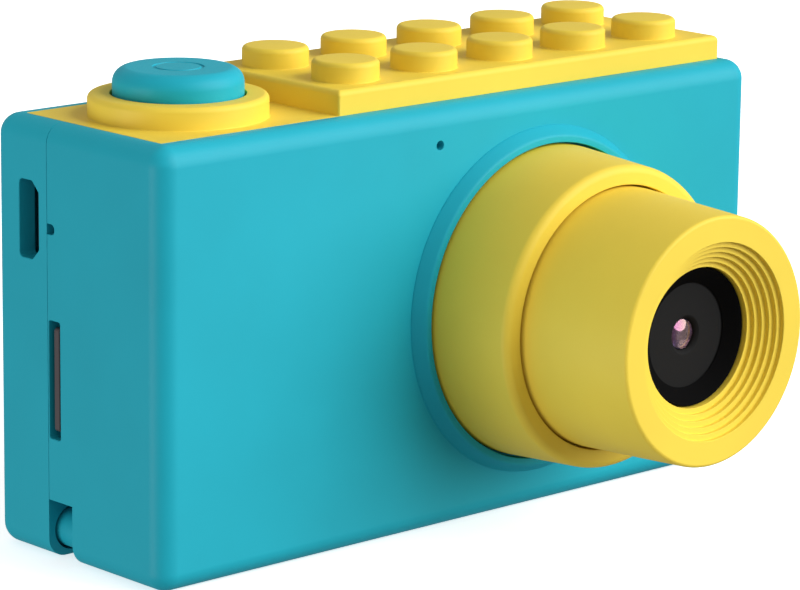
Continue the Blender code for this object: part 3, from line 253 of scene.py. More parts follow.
def add_box(shape, low, high):
    for corner in bmesh.ops.create_cube(shape, size=1.0)["verts"]:
        corner.co = [a + (b - a) * (share + 0.5) for a, b, share in zip(low, high, corner.co)]


def round_edges(shape, edges, radius, segments):
    bmesh.ops.bevel(
        shape, geom=edges, offset=radius, segments=segments, profile=0.5, affect="EDGES"
    )


def block(name, low, high, radius=0.0):
    """A box, with its edges rounded by radius."""
    shape = bmesh.new()
    add_box(shape, low, high)
    if radius:
        round_edges(shape, list(shape.edges), radius, 2)
    return object_from(name, shape)


def boolean(target, tool, operation):
    """Joins or cuts at once, and removes the tool."""
    step = target.modifiers.new("step", "BOOLEAN")
    step.operation = operation
    step.object = tool
    step.solver = "MANIFOLD"
    graph = bpy.context.evaluated_depsgraph_get()
    graph.update()
    made = bpy.data.meshes.new_from_object(target.evaluated_get(graph))
    target.modifiers.clear()
    old = target.data
    target.data = made
    made.name = target.name
    bpy.data.meshes.remove(old)
    bpy.data.objects.remove(tool)


def join(target, tool):
    boolean(target, tool, "UNION")


def cut(target, tool):
    boolean(target, tool, "DIFFERENCE")


def piece(made, body, look, *nodes, slot):
    """Finishes a piece: shading, material, the body it rides on and the nodes it stands for."""
    mesh = made.data
    mesh.materials.clear()
    mesh.materials.append(look)
    for face in mesh.polygons:
        face.material_index = 0
    mesh.shade_smooth()
    mesh.set_sharp_from_angle(angle=SMOOTH_ANGLE)
    weighted = made.modifiers.new("weighted_normals", "WEIGHTED_NORMAL")
    weighted.keep_sharp = True
    weighted.mode = "FACE_AREA_WITH_ANGLE"
    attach(made, body)
    if nodes:
        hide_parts(*nodes)


# --- Materials ---


def linear(red, green, blue):
    values = []
    for channel in (red, green, blue):
        share = channel / 255
        values.append(share / 12.92 if share <= 0.04045 else ((share + 0.055) / 1.055) ** 2.4)
    return (*values, 1.0)


def scaled(colour, share):
    return (*(min(1.0, channel * share) for channel in colour[:3]), 1.0)


class Look:
    """A Principled material with helpers for procedural inputs in object space, in metres."""

    def __init__(self, name):
        self.material = bpy.data.materials.new(name)
        self.material.use_nodes = True
        self.tree = self.material.node_tree
        self.shader = self.tree.nodes["Principled BSDF"]
        self.place = self.tree.nodes.new("ShaderNodeTexCoord").outputs["Object"]

    def node(self, kind, inputs=None, **values):
        made = self.tree.nodes.new(kind)
        for name, value in values.items():
            setattr(made, name, value)
        for name, value in (inputs or {}).items():
            made.inputs[name].default_value = value
        return made

    def link(self, start, end):
        self.tree.links.new(start, end)

    def noise(self, size, detail=2.0, roughness=0.5):
        """Noise whose features are about size metres across."""
        inputs = {"Scale": 1 / size, "Detail": detail, "Roughness": roughness}
        made = self.node("ShaderNodeTexNoise", inputs)
        self.link(self.place, made.inputs["Vector"])
        return made.outputs["Fac"]

    def remap(self, value, low, high, start=0.3, stop=0.7):
        inputs = {"From Min": start, "From Max": stop, "To Min": low, "To Max": high}
        made = self.node("ShaderNodeMapRange", inputs, clamp=True)
        self.link(value, made.inputs["Value"])
        return made.outputs["Result"]

    def blend(self, share, first, second):
        """A colour between two others; each is a colour or an output."""
        made = self.node("ShaderNodeMix", data_type="RGBA")
        self.link(share, made.inputs["Factor"])
        for name, value in (("A", first), ("B", second)):
            socket = [s for s in made.inputs if s.name == name and s.type == "RGBA"][0]
            if isinstance(value, tuple):
                socket.default_value = value
            else:
                self.link(value, socket)
        return [s for s in made.outputs if s.type == "RGBA"][0]

    def edges(self, reach, most):
        """A share from 0 on open faces to most within reach of an edge, used to paint a highlight
        along edges.
        """
        rounded_off = self.node("ShaderNodeBevel", {"Radius": reach}, samples=4)
        facing = self.node("ShaderNodeNewGeometry")
        match = self.node("ShaderNodeVectorMath", operation="DOT_PRODUCT")
        self.link(rounded_off.outputs["Normal"], match.inputs[0])
        self.link(facing.outputs["Normal"], match.inputs[1])
        return self.remap(match.outputs["Value"], most, 0.0, 0.8, 0.97)

    def bump(self, height, distance, strength, before=None):
        made = self.node("ShaderNodeBump", {"Strength": strength, "Distance": distance})
        self.link(height, made.inputs["Height"])
        if before:
            self.link(before, made.inputs["Normal"])
        return made.outputs["Normal"]

    def set(self, **values):
        for name, value in values.items():
            self.shader.inputs[name.replace("_", " ")].default_value = value

    def finish(self, colour=None, roughness=None, normal=None):
        for name, output in (("Base Color", colour), ("Roughness", roughness), ("Normal", normal)):
            if output:
                self.link(output, self.shader.inputs[name])
        return self.material


def moulded(name, colour, roughness, grain=0.16 * MM, grain_depth=0.35, shift=0.035, gloss=0.4):
    """Satin moulded plastic: slow colour drift, a painted highlight along the edges, fine
    spark-eroded grain.
    """
    look = Look(name)
    drift = look.remap(look.noise(14 * MM, 3.0), 0.0, 1.0)
    base = look.blend(drift, scaled(colour, 1 - shift), scaled(colour, 1 + shift))
    # Painted highlight: near every edge the colour is lightened towards 1.3 times itself.
    base = look.blend(look.edges(0.2 * MM, 0.3), base, scaled(colour, 1.3))
    fine = look.noise(grain, 2.0, 0.6)
    slow = look.noise(3.0 * MM, 2.0)
    rough = look.remap(fine, roughness - 0.05, roughness + 0.06)
    normal = look.bump(slow, 0.02 * MM, 0.25)
    normal = look.bump(fine, 0.012 * MM, grain_depth, normal)
    look.set(Specular_IOR_Level=gloss)
    return look.finish(base, rough, normal)


def glossy(name, colour, roughness, metallic=0.0, shift=0.06):
    """Polished plastic or metal with faint smears in its gloss."""
    look = Look(name)
    drift = look.remap(look.noise(6 * MM, 3.0), 0.0, 1.0)
    base = look.blend(drift, scaled(colour, 1 - shift), scaled(colour, 1 + shift))
    rough = look.remap(look.noise(2.5 * MM, 4.0, 0.6), roughness * 0.8, roughness * 1.25)
    normal = look.bump(look.noise(0.3 * MM, 2.0), 0.004 * MM, 0.2)
    look.set(Metallic=metallic)
    return look.finish(base, rough, normal)


def brushed(name, colour, roughness):
    """Plated sheet metal with a fine one-way grain."""
    look = Look(name)
    stretch = look.node("ShaderNodeMapping", {"Scale": (1.0, 1.0, 14.0)})
    look.link(look.place, stretch.inputs["Vector"])
    look.place = stretch.outputs["Vector"]
    grain = look.noise(0.9 * MM, 3.0, 0.65)
    base = look.blend(look.remap(grain, 0.0, 1.0), scaled(colour, 0.85), scaled(colour, 1.1))
    rough = look.remap(grain, roughness - 0.06, roughness + 0.1)
    normal = look.bump(grain, 0.006 * MM, 0.3)
    look.set(Metallic=1.0)
    return look.finish(base, rough, normal)


def circuit(name):
    """Green solder mask over faint copper tracks."""
    look = Look(name)
    kind = {"distance": "MANHATTAN", "feature": "DISTANCE_TO_EDGE"}
    cells = look.node("ShaderNodeTexVoronoi", {"Scale": 1 / (2.6 * MM)}, **kind)
    look.link(look.place, cells.inputs["Vector"])
    track = look.remap(cells.outputs["Distance"], 1.0, 0.0, 0.04, 0.09)
    base = look.blend(track, linear(20, 84, 52), linear(46, 124, 70))
    rough = look.remap(look.noise(1.0 * MM), 0.3, 0.45)
    normal = look.bump(track, 0.03 * MM, 0.4)
    return look.finish(base, rough, normal)


BLUE_COLOUR = (0.012, 0.408, 0.522, 1.0)
YELLOW_COLOUR = (0.9, 0.665, 0.071, 1.0)
BLUE = moulded("blue_moulded", BLUE_COLOUR, 0.5, gloss=0.2)
YELLOW = moulded("yellow_moulded", YELLOW_COLOUR, 0.5, gloss=0.25)
BLACK = moulded("black_bezel", (0.0035, 0.0035, 0.0037, 1.0), 0.75, 0.12 * MM, 0.2, gloss=0.02)
DISC_COLOUR = (0.012, 0.012, 0.0122, 1.0)
DARK_GREY = moulded("dark_grey_disc", DISC_COLOUR, 0.65, 0.1 * MM, 0.25, gloss=0.08)
INNER_BLACK = moulded("inner_black", linear(16, 16, 17), 0.6)
CARD = moulded("card_grey_brown", linear(78, 70, 72), 0.45, 0.1 * MM, 0.2)
CHIP = moulded("chip_epoxy", linear(30, 31, 34), 0.55, 0.1 * MM, 0.3)
KEY_MARK = moulded("key_mark_ink", linear(92, 70, 28), 0.5, 0.1 * MM, 0.1)
SWITCH_WHITE = moulded("switch_white", linear(226, 226, 222), 0.5)
SLEEVE = moulded("lead_sleeve", linear(52, 52, 56), 0.55)
FLEX = glossy("polyimide_film", linear(176, 108, 40), 0.3)
FOIL = glossy("battery_foil", linear(178, 180, 184), 0.32, 0.9)
PRINT = glossy("window_print", linear(10, 10, 11), 0.12)
PANEL = glossy("lcd_glass", linear(22, 25, 34), 0.16)
METAL = brushed("plated_steel", linear(196, 196, 198), 0.3)
GOLD = brushed("contact_gold", linear(214, 168, 84), 0.28)
BOARD = circuit("solder_mask")


def clear_window():
    """Smoky clear plastic over the screen."""
    look = Look("clear_window")
    rough = look.remap(look.noise(4 * MM, 4.0, 0.6), 0.02, 0.07)
    tint = look.remap(look.noise(9 * MM), 0.0, 1.0)
    base = look.blend(tint, linear(120, 123, 128), linear(138, 141, 146))
    look.set(IOR=1.49, Transmission_Weight=1.0)
    return look.finish(base, rough)


def coated_glass():
    """The front element: clear, with a violet anti-reflection coat."""
    look = Look("coated_glass")
    rough = look.remap(look.noise(0.5 * MM, 2.0), 0.01, 0.03)
    tint = look.remap(look.noise(0.8 * MM), 0.0, 1.0)
    base = look.blend(tint, linear(150, 140, 165), linear(170, 155, 180))
    look.set(IOR=1.6, Transmission_Weight=0.95, Thin_Film_Thickness=420.0, Thin_Film_IOR=1.9)
    return look.finish(base, rough)


def inner_element():
    """The coated lens behind the front element."""
    look = Look("inner_element")
    share = look.remap(look.noise(0.7 * MM, 1.0), 0.0, 1.0, 0.4, 0.6)
    base = look.blend(share, linear(58, 40, 62), linear(34, 38, 56))
    look.set(Metallic=0.5)
    rough = look.remap(look.noise(0.6 * MM), 0.05, 0.12)
    return look.finish(base, rough)


CLEAR = clear_window()
COATED = coated_glass()
ELEMENT = inner_element()


# --- Shells ---

FLANGE_RADIUS = 19.06 * MM
FLANGE_RIM_RADIUS = 18.0 * MM
RUN_GAP = 0.23 * MM
FIT_GAP = 0.3 * MM
THREAD_GAP = 0.1 * MM
LIP = 0.16 * MM
SHANK_RADIUS = 0.95 * MM
HEAD_RADIUS = 1.9 * MM
SEAT_DEPTH = 2.0 * MM
BOSS_RADIUS = 2.1 * MM
REAR_BOSS_RADIUS = 2.7 * MM
REAR_WALL = 2.2 * MM
BOARD_HEADROOM = 3.0 * MM
PARTING_EASE = 0.04 * MM
FINE_LIP = 0.1 * MM
HEAD_HEIGHT = 1.2 * MM
CROSS_DEPTH = 0.65 * MM
THREAD_PITCH = 0.6 * MM
SHELL_PILOT_DEPTH = 9.0 * MM
INNER_LEFT_X = LEFT_X + WALL
INNER_RIGHT_X = RIGHT_X - WALL
INNER_FRONT_Y = FRONT_Y + WALL
INNER_REAR_Y = REAR_Y - REAR_WALL
DECK_UNDER_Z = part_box("main_board")[1].z + BOARD_HEADROOM
LEDGE_WIDTH = 5.0 * MM
LEDGE_DEPTH = 1.3 * MM
LEDGE_PLACES = (SHUTTER_X + 13.37 * MM, RIGHT_X - 15.25 * MM)
HOOK_THICKNESS = 1.2 * MM
HOOK_HEIGHT = 1.1 * MM
HOOK_REACH = 1.0 * MM
BOARD_POST_RADIUS = 1.8 * MM
STRAP_LENGTH = 7.2 * MM
STRAP_HEIGHT = 6.45 * MM
STRAP_FRONT_Y = PARTING_Y - 3.9 * MM
STRAP_POST = (LEFT_X + 3.2 * MM, 2.9 * MM, 2.1 * MM)
STRAP_WALL = 1.6 * MM
STRAP_CORNER = 0.5 * MM
STRAP_FOOT_DEPTH = 3.2 * MM
STRAP_TENON = 1.2 * MM
STRAP_SOCKET = 1.6 * MM
MIC_HOLE_RADIUS = 0.5 * MM
MIC_POCKET_RADIUS = 1.6 * MM
MIC_BOSS_RADIUS = 2.0 * MM
MIC_BOSS_LENGTH = 1.5 * MM
GRILLE_HOLE_RADIUS = 0.7 * MM
GRILLE_CIRCLE = 3.2 * MM
WINDOW_SEAT_CORNER = 1.0 * MM
WINDOW_REST = 1.4 * MM
PRINT_INSET = 2.2 * MM
LENS_OPENING = 8.5 * MM
BOARD_FRONT_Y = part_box("main_board")[0].y
BOARD_REAR_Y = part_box("main_board")[1].y
SHELL_SCREWS = ("shell_screw_left", "shell_screw_foot", "shell_screw_corner", "shell_screw_top")
KEYS = ("up", "down", "left", "right", "ok", "power", "mode", "play")
KEY_FLANGE = 0.5925 * MM
TUBE_SCREW_CIRCLE = RING_RADIUS * 2 / 3


def shell_body(name, low, high, plane_y):
    """The shell's outside: big round edges, and a fine one along the parting line."""
    shape = bmesh.new()
    add_box(shape, low, high)
    edges = [e for e in shape.edges if any(abs(v.co.y - plane_y) > 1e-6 for v in e.verts)]
    round_edges(shape, edges, EDGE_RADIUS, 12)
    rim = [e for e in shape.edges if all(abs(v.co.y - plane_y) < 1e-6 for v in e.verts)]
    round_edges(shape, rim, PARTING_EASE, 2)
    return object_from(name, shape)


def flared(depth, lip=LIP):
    """Levels of a cutter that opens out by lip where it meets the surface at height 0."""
    return [(-depth, 0), (-lip, 0), (-lip * 0.35, lip * 0.15), (0, lip * 0.6), (lip, lip * 1.6)]


def flared_hole(radius, depth, place, turn, lip=LIP, segments=SIDES_SMALL):
    side = [(radius + out, height) for height, out in flared(depth, lip)]
    return turned("hole", [(0, -depth), *side, (0, lip)], place, turn, segments)


def disc(radius, low, high, place, turn, segments=SIDES_SMALL):
    """A round boss or drill from one height to another."""
    profile = [(0, low), (radius, low), (radius, high), (0, high)]
    return turned("disc", profile, place, turn, segments)


def ledges(wall_y, inner_y):
    """What the deck's hooks catch under, inside one long wall."""
    low_y, high_y = sorted((wall_y, inner_y))
    shape = bmesh.new()
    top = DECK_UNDER_Z - FIT_GAP
    for middle in LEDGE_PLACES:
        low = (middle - LEDGE_WIDTH / 2, low_y, top - LEDGE_DEPTH)
        add_box(shape, low, (middle + LEDGE_WIDTH / 2, high_y, top))
    return object_from("ledges", shape)


def deck_opening():
    """The opening both shells leave for the deck, flared at its mouth."""
    levels = flared(TOP_Z - DECK_UNDER_Z + OVERLAP, FINE_LIP)
    return prism("opening", rectangle(OPENING_LOW, OPENING_HIGH, 0), levels, (0, 0, TOP_Z))


def side_slot(outline, lip=LIP):
    """A flared cutter into the left side; its outline is (y, z)."""
    return prism("slot", outline, flared(WALL + OVERLAP, lip), (LEFT_X, 0, 0), AGAINST_X)


def strap_pocket():
    """The pocket at the lower left corner, its innermost edge rounded."""
    shape = bmesh.new()
    low = (LEFT_X - 2 * OVERLAP, STRAP_FRONT_Y, -2 * OVERLAP)
    add_box(shape, low, (LEFT_X + STRAP_LENGTH, PARTING_Y + OVERLAP, STRAP_HEIGHT))
    inside = [e for e in shape.edges if all(v.co.x > LEFT_X and v.co.z > 0 for v in e.verts)]
    round_edges(shape, inside, STRAP_CORNER, 4)
    return object_from("pocket", shape)


def front_shell():
    """The front and most of the sides, with the flange, the pocket and the screw bosses."""
    back_y = PARTING_Y - FINE_SEAM / 2
    low = (LEFT_X, FRONT_Y, 0)
    shell = shell_body("camera_front_shell", low, (RIGHT_X, back_y, TOP_Z), back_y)
    low = (INNER_LEFT_X, INNER_FRONT_Y, WALL)
    cut(shell, block("cavity", low, (INNER_RIGHT_X, PARTING_Y + OVERLAP, TOP_Z - WALL)))
    low = (LEFT_X + WALL / 2, STRAP_FRONT_Y - STRAP_WALL, WALL / 2)
    high = (LEFT_X + STRAP_LENGTH + STRAP_WALL, back_y, STRAP_HEIGHT + STRAP_WALL)
    join(shell, block("strap_block", low, high))
    length = BOARD_FRONT_Y - FIT_GAP - INNER_FRONT_Y
    for name in SHELL_SCREWS:
        place = node_place(name, INNER_FRONT_Y)
        join(shell, disc(BOSS_RADIUS, -OVERLAP, length, place, REARWARD))
    place = node_place("microphone", INNER_FRONT_Y)
    join(shell, disc(MIC_BOSS_RADIUS, -OVERLAP, MIC_BOSS_LENGTH, place, REARWARD))

    cut(shell, deck_opening())
    join(shell, ledges(INNER_FRONT_Y - OVERLAP, OPENING_LOW[1] + LEDGE_DEPTH))
    cut(shell, disc(LENS_OPENING, -WALL * 2, WALL, LENS_PLACE, FORWARD, SIDES_MEDIUM))
    join(shell, lens_flange())
    for place in tube_screw_places(INNER_FRONT_Y):
        cut(shell, disc(SHANK_RADIUS + FIT_GAP, -WALL * 2, WALL, place, REARWARD))
    place = node_place("microphone", FRONT_Y)
    cut(shell, flared_hole(MIC_HOLE_RADIUS, WALL * 1.01, place, FORWARD, FINE_LIP))
    cut(shell, disc(MIC_POCKET_RADIUS, -WALL * 2, -WALL, place, FORWARD))
    for name in SHELL_SCREWS:
        place = node_place(name, BOARD_FRONT_Y)
        cut(shell, disc(SHANK_RADIUS + THREAD_GAP, -SHELL_PILOT_DEPTH, OVERLAP, place, REARWARD))
    for place in grille_places():
        cut(shell, flared_hole(GRILLE_HOLE_RADIUS, WALL * 1.5, place, RIGHTWARD, 0.14 * MM))
    cut(shell, side_slot(card_outline()))
    cut(shell, side_slot(reset_outline(), FINE_LIP))
    cut(shell, strap_pocket())
    x, z, radius = STRAP_POST
    length = PARTING_Y + STRAP_TENON - STRAP_FRONT_Y
    fillet = 0.3 * MM
    post = [(0, -OVERLAP), (radius, -OVERLAP)]
    post += arc((radius - fillet, length - fillet), fillet, 0, 90, 4) + [(0, length)]
    join(shell, turned("post", post, (x, STRAP_FRONT_Y, z), REARWARD, SIDES_SMALL))
    piece(shell, "camera", BLUE, "front_shell", slot="blue_plastic")


USB_Z = node_middle("usb_port").z
USB_NEAR = PARTING_Y + 1.4 * MM
USB_WIDTH = 3.2 * MM
USB_LENGTH = 8.2 * MM
USB_CHAMFER = 1.1 * MM
USB_SKIN = 0.35 * MM
USB_SLANT = 0.9 * MM
CARD_Z = node_middle("memory_card").z
CARD_BACK_Y = PARTING_Y - 0.2 * MM
CARD_SLOT_WIDTH = 1.8 * MM
CARD_SLOT_LENGTH = 12.5 * MM


def card_outline():
    low = (CARD_BACK_Y - CARD_SLOT_WIDTH, CARD_Z - CARD_SLOT_LENGTH / 2)
    return rectangle(low, (CARD_BACK_Y, CARD_Z + CARD_SLOT_LENGTH / 2), 0.25 * MM, 3)


def usb_outline():
    """The opening round the port, its two front corners slanted."""
    near, far = USB_NEAR, USB_NEAR + USB_WIDTH
    low, high = USB_Z - USB_LENGTH / 2, USB_Z + USB_LENGTH / 2
    slanted, square = 0.3 * MM, 0.5 * MM
    corners = [(near, low + USB_CHAMFER, slanted), (near + USB_CHAMFER, low, slanted)]
    corners += [(far, low, square), (far, high, square)]
    corners += [(near + USB_CHAMFER, high, slanted), (near, high - USB_CHAMFER, slanted)]
    return rounded(corners, 4)


def reset_outline():
    """A notch with a round front end, open at the parting line."""
    half = 0.55 * MM
    middle = USB_Z - 0.5 * MM
    near, far = PARTING_Y - 1.2 * MM, PARTING_Y + OVERLAP
    corners = [(near, middle - half, half * 0.98), (far, middle - half, 0)]
    corners += [(far, middle + half, 0), (near, middle + half, half * 0.98)]
    return rounded(corners, 8)


def lens_flange():
    """The slanted collar the lens stands in, with a flat rim."""
    inner = RING_RADIUS + RUN_GAP
    height = FLANGE_HEIGHT
    rim = FLANGE_RIM_RADIUS
    profile = [(inner, -OVERLAP), (FLANGE_RADIUS, -OVERLAP), (FLANGE_RADIUS, 0.05 * MM)]
    profile += [(FLANGE_RADIUS - 0.05 * MM, 0.15 * MM)]
    profile += [(rim + 0.26 * MM, height - 0.24 * MM), (rim + 0.12 * MM, height - 0.08 * MM)]
    profile += [(rim, height - 0.015 * MM), (rim - 0.12 * MM, height)]
    profile += [(inner + 0.12 * MM, height), (inner + 0.03 * MM, height - 0.03 * MM)]
    profile += [(inner, height - 0.12 * MM)]
    return turned("flange", profile, LENS_PLACE, FORWARD, SIDES_LARGE)


def grille_places():
    """One hole in the middle and six round it, over the speaker."""
    middle = node_middle("speaker")
    places = [(RIGHT_X, middle.y, middle.z)]
    for step in range(6):
        angle = math.radians(60 * step)
        y = middle.y + GRILLE_CIRCLE * math.cos(angle)
        places.append((RIGHT_X, y, middle.z + GRILLE_CIRCLE * math.sin(angle)))
    return places


def tube_screw_places(y):
    """Three screws, evenly spaced round the lens."""
    places = []
    for index in range(3):
        angle = math.radians(90 + 120 * index)
        x = LENS_X + TUBE_SCREW_CIRCLE * math.cos(angle)
        places.append((x, y, LENS_Z + TUBE_SCREW_CIRCLE * math.sin(angle)))
    return places


def rear_shell():
    """The rear face, open for screws, keys and window, and the back part of the sides."""
    face_y = PARTING_Y + FINE_SEAM / 2
    high = (RIGHT_X, REAR_Y, TOP_Z)
    shell = shell_body("camera_rear_shell", (LEFT_X, face_y, 0), high, face_y)
    low = (INNER_LEFT_X, PARTING_Y - OVERLAP, WALL)
    cut(shell, block("cavity", low, (INNER_RIGHT_X, INNER_REAR_Y, TOP_Z - WALL)))
    low = (LEFT_X + WALL / 2, face_y, WALL / 2)
    high_y = PARTING_Y + STRAP_FOOT_DEPTH
    high = (LEFT_X + STRAP_LENGTH + STRAP_WALL, high_y, STRAP_HEIGHT + STRAP_WALL)
    join(shell, block("strap_foot", low, high))
    length = INNER_REAR_Y - BOARD_REAR_Y
    for name in SHELL_SCREWS:
        place = node_place(name, BOARD_REAR_Y + FIT_GAP)
        join(shell, disc(REAR_BOSS_RADIUS, 0, length, place, REARWARD))

    cut(shell, deck_opening())
    join(shell, ledges(INNER_REAR_Y + OVERLAP, OPENING_HIGH[1] - LEDGE_DEPTH))
    for name in SHELL_SCREWS:
        place = node_place(name, REAR_Y)
        cut(shell, disc(SHANK_RADIUS + FIT_GAP, -REAR_Y, OVERLAP, place, REARWARD))
        cut(shell, flared_hole(HEAD_RADIUS + RUN_GAP, SEAT_DEPTH, place, REARWARD))
    for key in KEYS:
        name = key + "_key"
        hole = key_radius(name) + RUN_GAP
        place = node_place(name, REAR_Y)
        cut(shell, flared_hole(hole, WALL * 2, place, REARWARD, LIP, SIDES_MEDIUM))
    window_low, window_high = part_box("screen_window")
    low = (window_low.x - SEAM_GAP, window_low.z - SEAM_GAP)
    high = (window_high.x + SEAM_GAP, window_high.z + SEAM_GAP)
    outline = rectangle(low, high, WINDOW_SEAT_CORNER)
    depth = REAR_Y - window_low.y + SEAM_GAP
    cut(shell, upright_prism("seat", outline, flared(depth, FINE_LIP), REAR_Y))
    panel_low, panel_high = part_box("lcd_panel")
    low = (panel_low.x + WINDOW_REST, INNER_REAR_Y - OVERLAP, panel_low.z + WINDOW_REST)
    high = (panel_high.x - WINDOW_REST, REAR_Y, panel_high.z - WINDOW_REST)
    cut(shell, block("view", low, high))
    cut(shell, side_slot(usb_outline()))
    x, z, radius = STRAP_POST
    place = (x, PARTING_Y, z)
    cut(shell, disc(radius + FIT_GAP, -OVERLAP, STRAP_SOCKET, place, REARWARD, SIDES_MEDIUM))
    piece(shell, "camera", BLUE, "rear_shell", slot="blue_plastic")


def key_radius(name):
    low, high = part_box(name)
    return (high.x - low.x) / 2 - KEY_FLANGE


# --- Deck and shutter ---

COLLAR_RADIUS = 9.37 * MM
COLLAR_HEIGHT = 2.39 * MM
BLOCK_LEFT_X = SHUTTER_X + COLLAR_RADIUS + 2.98 * MM
BLOCK_HEIGHT = 2.59 * MM
STUD_RADIUS = 3.59 * MM
STUD_HEIGHT = DECK_HIGH.z - TOP_Z - BLOCK_HEIGHT
STUD_PITCH = 11.2 * MM
STUD_COLUMNS = 5
STUD_RIGHT_X = DECK_HIGH.x - 3.03 * MM - STUD_RADIUS
CAP_RADIUS = 6.81 * MM


def top_deck():
    """The yellow top: a plate, the shutter's collar and the block with its studs."""
    low = [edge + DECK_SEAM for edge in OPENING_LOW]
    high = [edge - DECK_SEAM for edge in OPENING_HIGH]
    plate = rectangle(low, high, 0.15 * MM, 2)
    chamfer = 0.08 * MM
    levels = [(DECK_UNDER_Z, 0), (TOP_Z - chamfer, 0)]
    levels += [(TOP_Z - chamfer * 0.3, -chamfer * 0.3), (TOP_Z, -chamfer)]
    deck = prism("camera_top_deck", plate, levels)
    fillet = 0.6 * MM
    root = 0.12 * MM
    collar = [(0, -OVERLAP), (COLLAR_RADIUS + root, -OVERLAP), (COLLAR_RADIUS + root, 0)]
    collar += arc((COLLAR_RADIUS + root, root), root, 270, 180, 3)
    collar += arc((COLLAR_RADIUS - fillet, COLLAR_HEIGHT - fillet), fillet, 0, 90, 8)
    collar += [(0, COLLAR_HEIGHT)]
    place = (SHUTTER_X, SHUTTER_Y, TOP_Z)
    join(deck, turned("collar", collar, place, UPWARD, SIDES_LARGE))
    join(deck, stud_block(low, high))
    for column in range(STUD_COLUMNS):
        x = STUD_RIGHT_X - column * STUD_PITCH
        for side in (-0.5, 0.5):
            place = (x, SHUTTER_Y + side * STUD_PITCH, TOP_Z + BLOCK_HEIGHT)
            join(deck, turned("stud", stud_profile(), place))
    place = (SHUTTER_X, SHUTTER_Y, DECK_UNDER_Z)
    hole = CAP_RADIUS + RUN_GAP
    top = TOP_Z + COLLAR_HEIGHT - DECK_UNDER_Z
    mouth = hole + 0.12 * MM
    well = [(0, -OVERLAP), (hole, -OVERLAP), (hole, top - 0.15 * MM)]
    well += [(hole + 0.03 * MM, top - 0.04 * MM), (mouth, top + 0.01 * MM)]
    well += [(mouth, top + 2 * MM), (0, top + 2 * MM)]
    cut(deck, turned("well", well, place, UPWARD, SIDES_LARGE))
    deck_fittings(deck)
    piece(deck, "camera", YELLOW, "top_deck", slot="yellow_plastic")


def stud_block(low, high):
    """The raised block, its top edges rounded and its upright corners nearly sharp."""
    fillet = 0.6 * MM
    corner = 0.3 * MM
    top = TOP_Z + BLOCK_HEIGHT
    rises = [(TOP_Z - OVERLAP, 0), (top - fillet, 0)]
    for step in range(1, 9):
        angle = math.radians(90 * step / 8)
        rises.append((top - fillet + fillet * math.sin(angle), fillet * (1 - math.cos(angle))))
    layers = []
    for height, inset in rises:
        near = (BLOCK_LEFT_X + inset, low[1] + inset)
        far = (high[0] - inset, high[1] - inset)
        layers.append((height, rectangle(near, far, max(corner - inset * 0.4, 0.08 * MM), 5)))
    shape = bmesh.new()
    add_layers(shape, layers)
    return object_from("stud_block", shape)


def stud_profile():
    fillet = 0.55 * MM
    root = 0.1 * MM
    profile = [(0, -OVERLAP), (STUD_RADIUS + root, -OVERLAP), (STUD_RADIUS + root, 0)]
    profile += arc((STUD_RADIUS + root, root), root, 270, 180, 3)
    profile += arc((STUD_RADIUS - fillet, STUD_HEIGHT - fillet), fillet, 0, 90, 8)
    return profile + [(0, STUD_HEIGHT)]


def deck_fittings(deck):
    """Snap hooks and the posts that hold the shutter's board."""
    top = DECK_UNDER_Z
    ledge_low = top - FIT_GAP - LEDGE_DEPTH
    half = LEDGE_WIDTH / 2
    leg_low = ledge_low - FIT_GAP - HOOK_HEIGHT
    for middle in LEDGE_PLACES:
        for side, wall_y in ((-1, OPENING_LOW[1]), (1, OPENING_HIGH[1])):
            inner = wall_y - side * (LEDGE_DEPTH + FIT_GAP)
            low_y, high_y = sorted((inner, inner - side * HOOK_THICKNESS))
            low = (middle - half, low_y, leg_low)
            join(deck, block("leg", low, (middle + half, high_y, top + OVERLAP)))
            low_y, high_y = sorted((inner - side * OVERLAP, inner + side * HOOK_REACH))
            low = (middle - half + 0.2 * MM, low_y, leg_low + 0.1 * MM)
            high = (middle + half - 0.2 * MM, high_y, ledge_low - FIT_GAP)
            join(deck, block("toe", low, high))
    hole = SHANK_RADIUS + THREAD_GAP
    post = [(hole, DECK_LOW.z - top), (BOARD_POST_RADIUS, DECK_LOW.z - top)]
    post += [(BOARD_POST_RADIUS, OVERLAP / 2), (0, OVERLAP / 2)]
    post += [(0, -0.05 * MM), (hole, -0.05 * MM)]
    for name in ("shutter_board_screw_1", "shutter_board_screw_2"):
        middle = node_middle(name)
        join(deck, turned("post", post, (middle.x, middle.y, top), UPWARD, SIDES_SMALL))


def shutter_cap():
    """The cap with its stem and flange, slightly crowned, with a round groove on top."""
    top = CAP_HIGH.z - DECK_UNDER_Z
    low = -FIT_GAP - 1.0 * MM
    stem_low = CAP_LOW.z - DECK_UNDER_Z
    outer = CAP_RADIUS + 0.9 * MM
    skin = 1.6 * MM
    inner = CAP_RADIUS - skin
    fillet = 1.6 * MM
    ring, half, deep = 2.5 * MM, 0.2 * MM, 0.14 * MM
    crown = 0.06 * MM
    cap = [(0, stem_low), (1.5 * MM, stem_low), (1.5 * MM, top - skin), (inner, top - skin)]
    cap += [(inner, low), (outer, low), (outer, -FIT_GAP), (CAP_RADIUS, -FIT_GAP)]
    cap += arc((CAP_RADIUS - fillet, top - fillet), fillet, 0, 86, 12)
    for across, sunk in ((1.6, 0), (1, 0.04), (0.7, 1), (-0.7, 1)):
        radius = ring + half * across
        cap.append((radius, top - deep * sunk - crown * (radius / CAP_RADIUS) ** 2))
    cap += [(ring - half, top - deep * 0.04 - crown * 0.12)]
    cap += [(ring - half * 1.6, top - crown * 0.1), (0, top)]
    made = turned("shutter_cap", cap, (SHUTTER_X, SHUTTER_Y, DECK_UNDER_Z), UPWARD, SIDES_LARGE)
    piece(made, "shutter", BLUE, "shutter_button", slot="blue_plastic")


# --- Lens ---

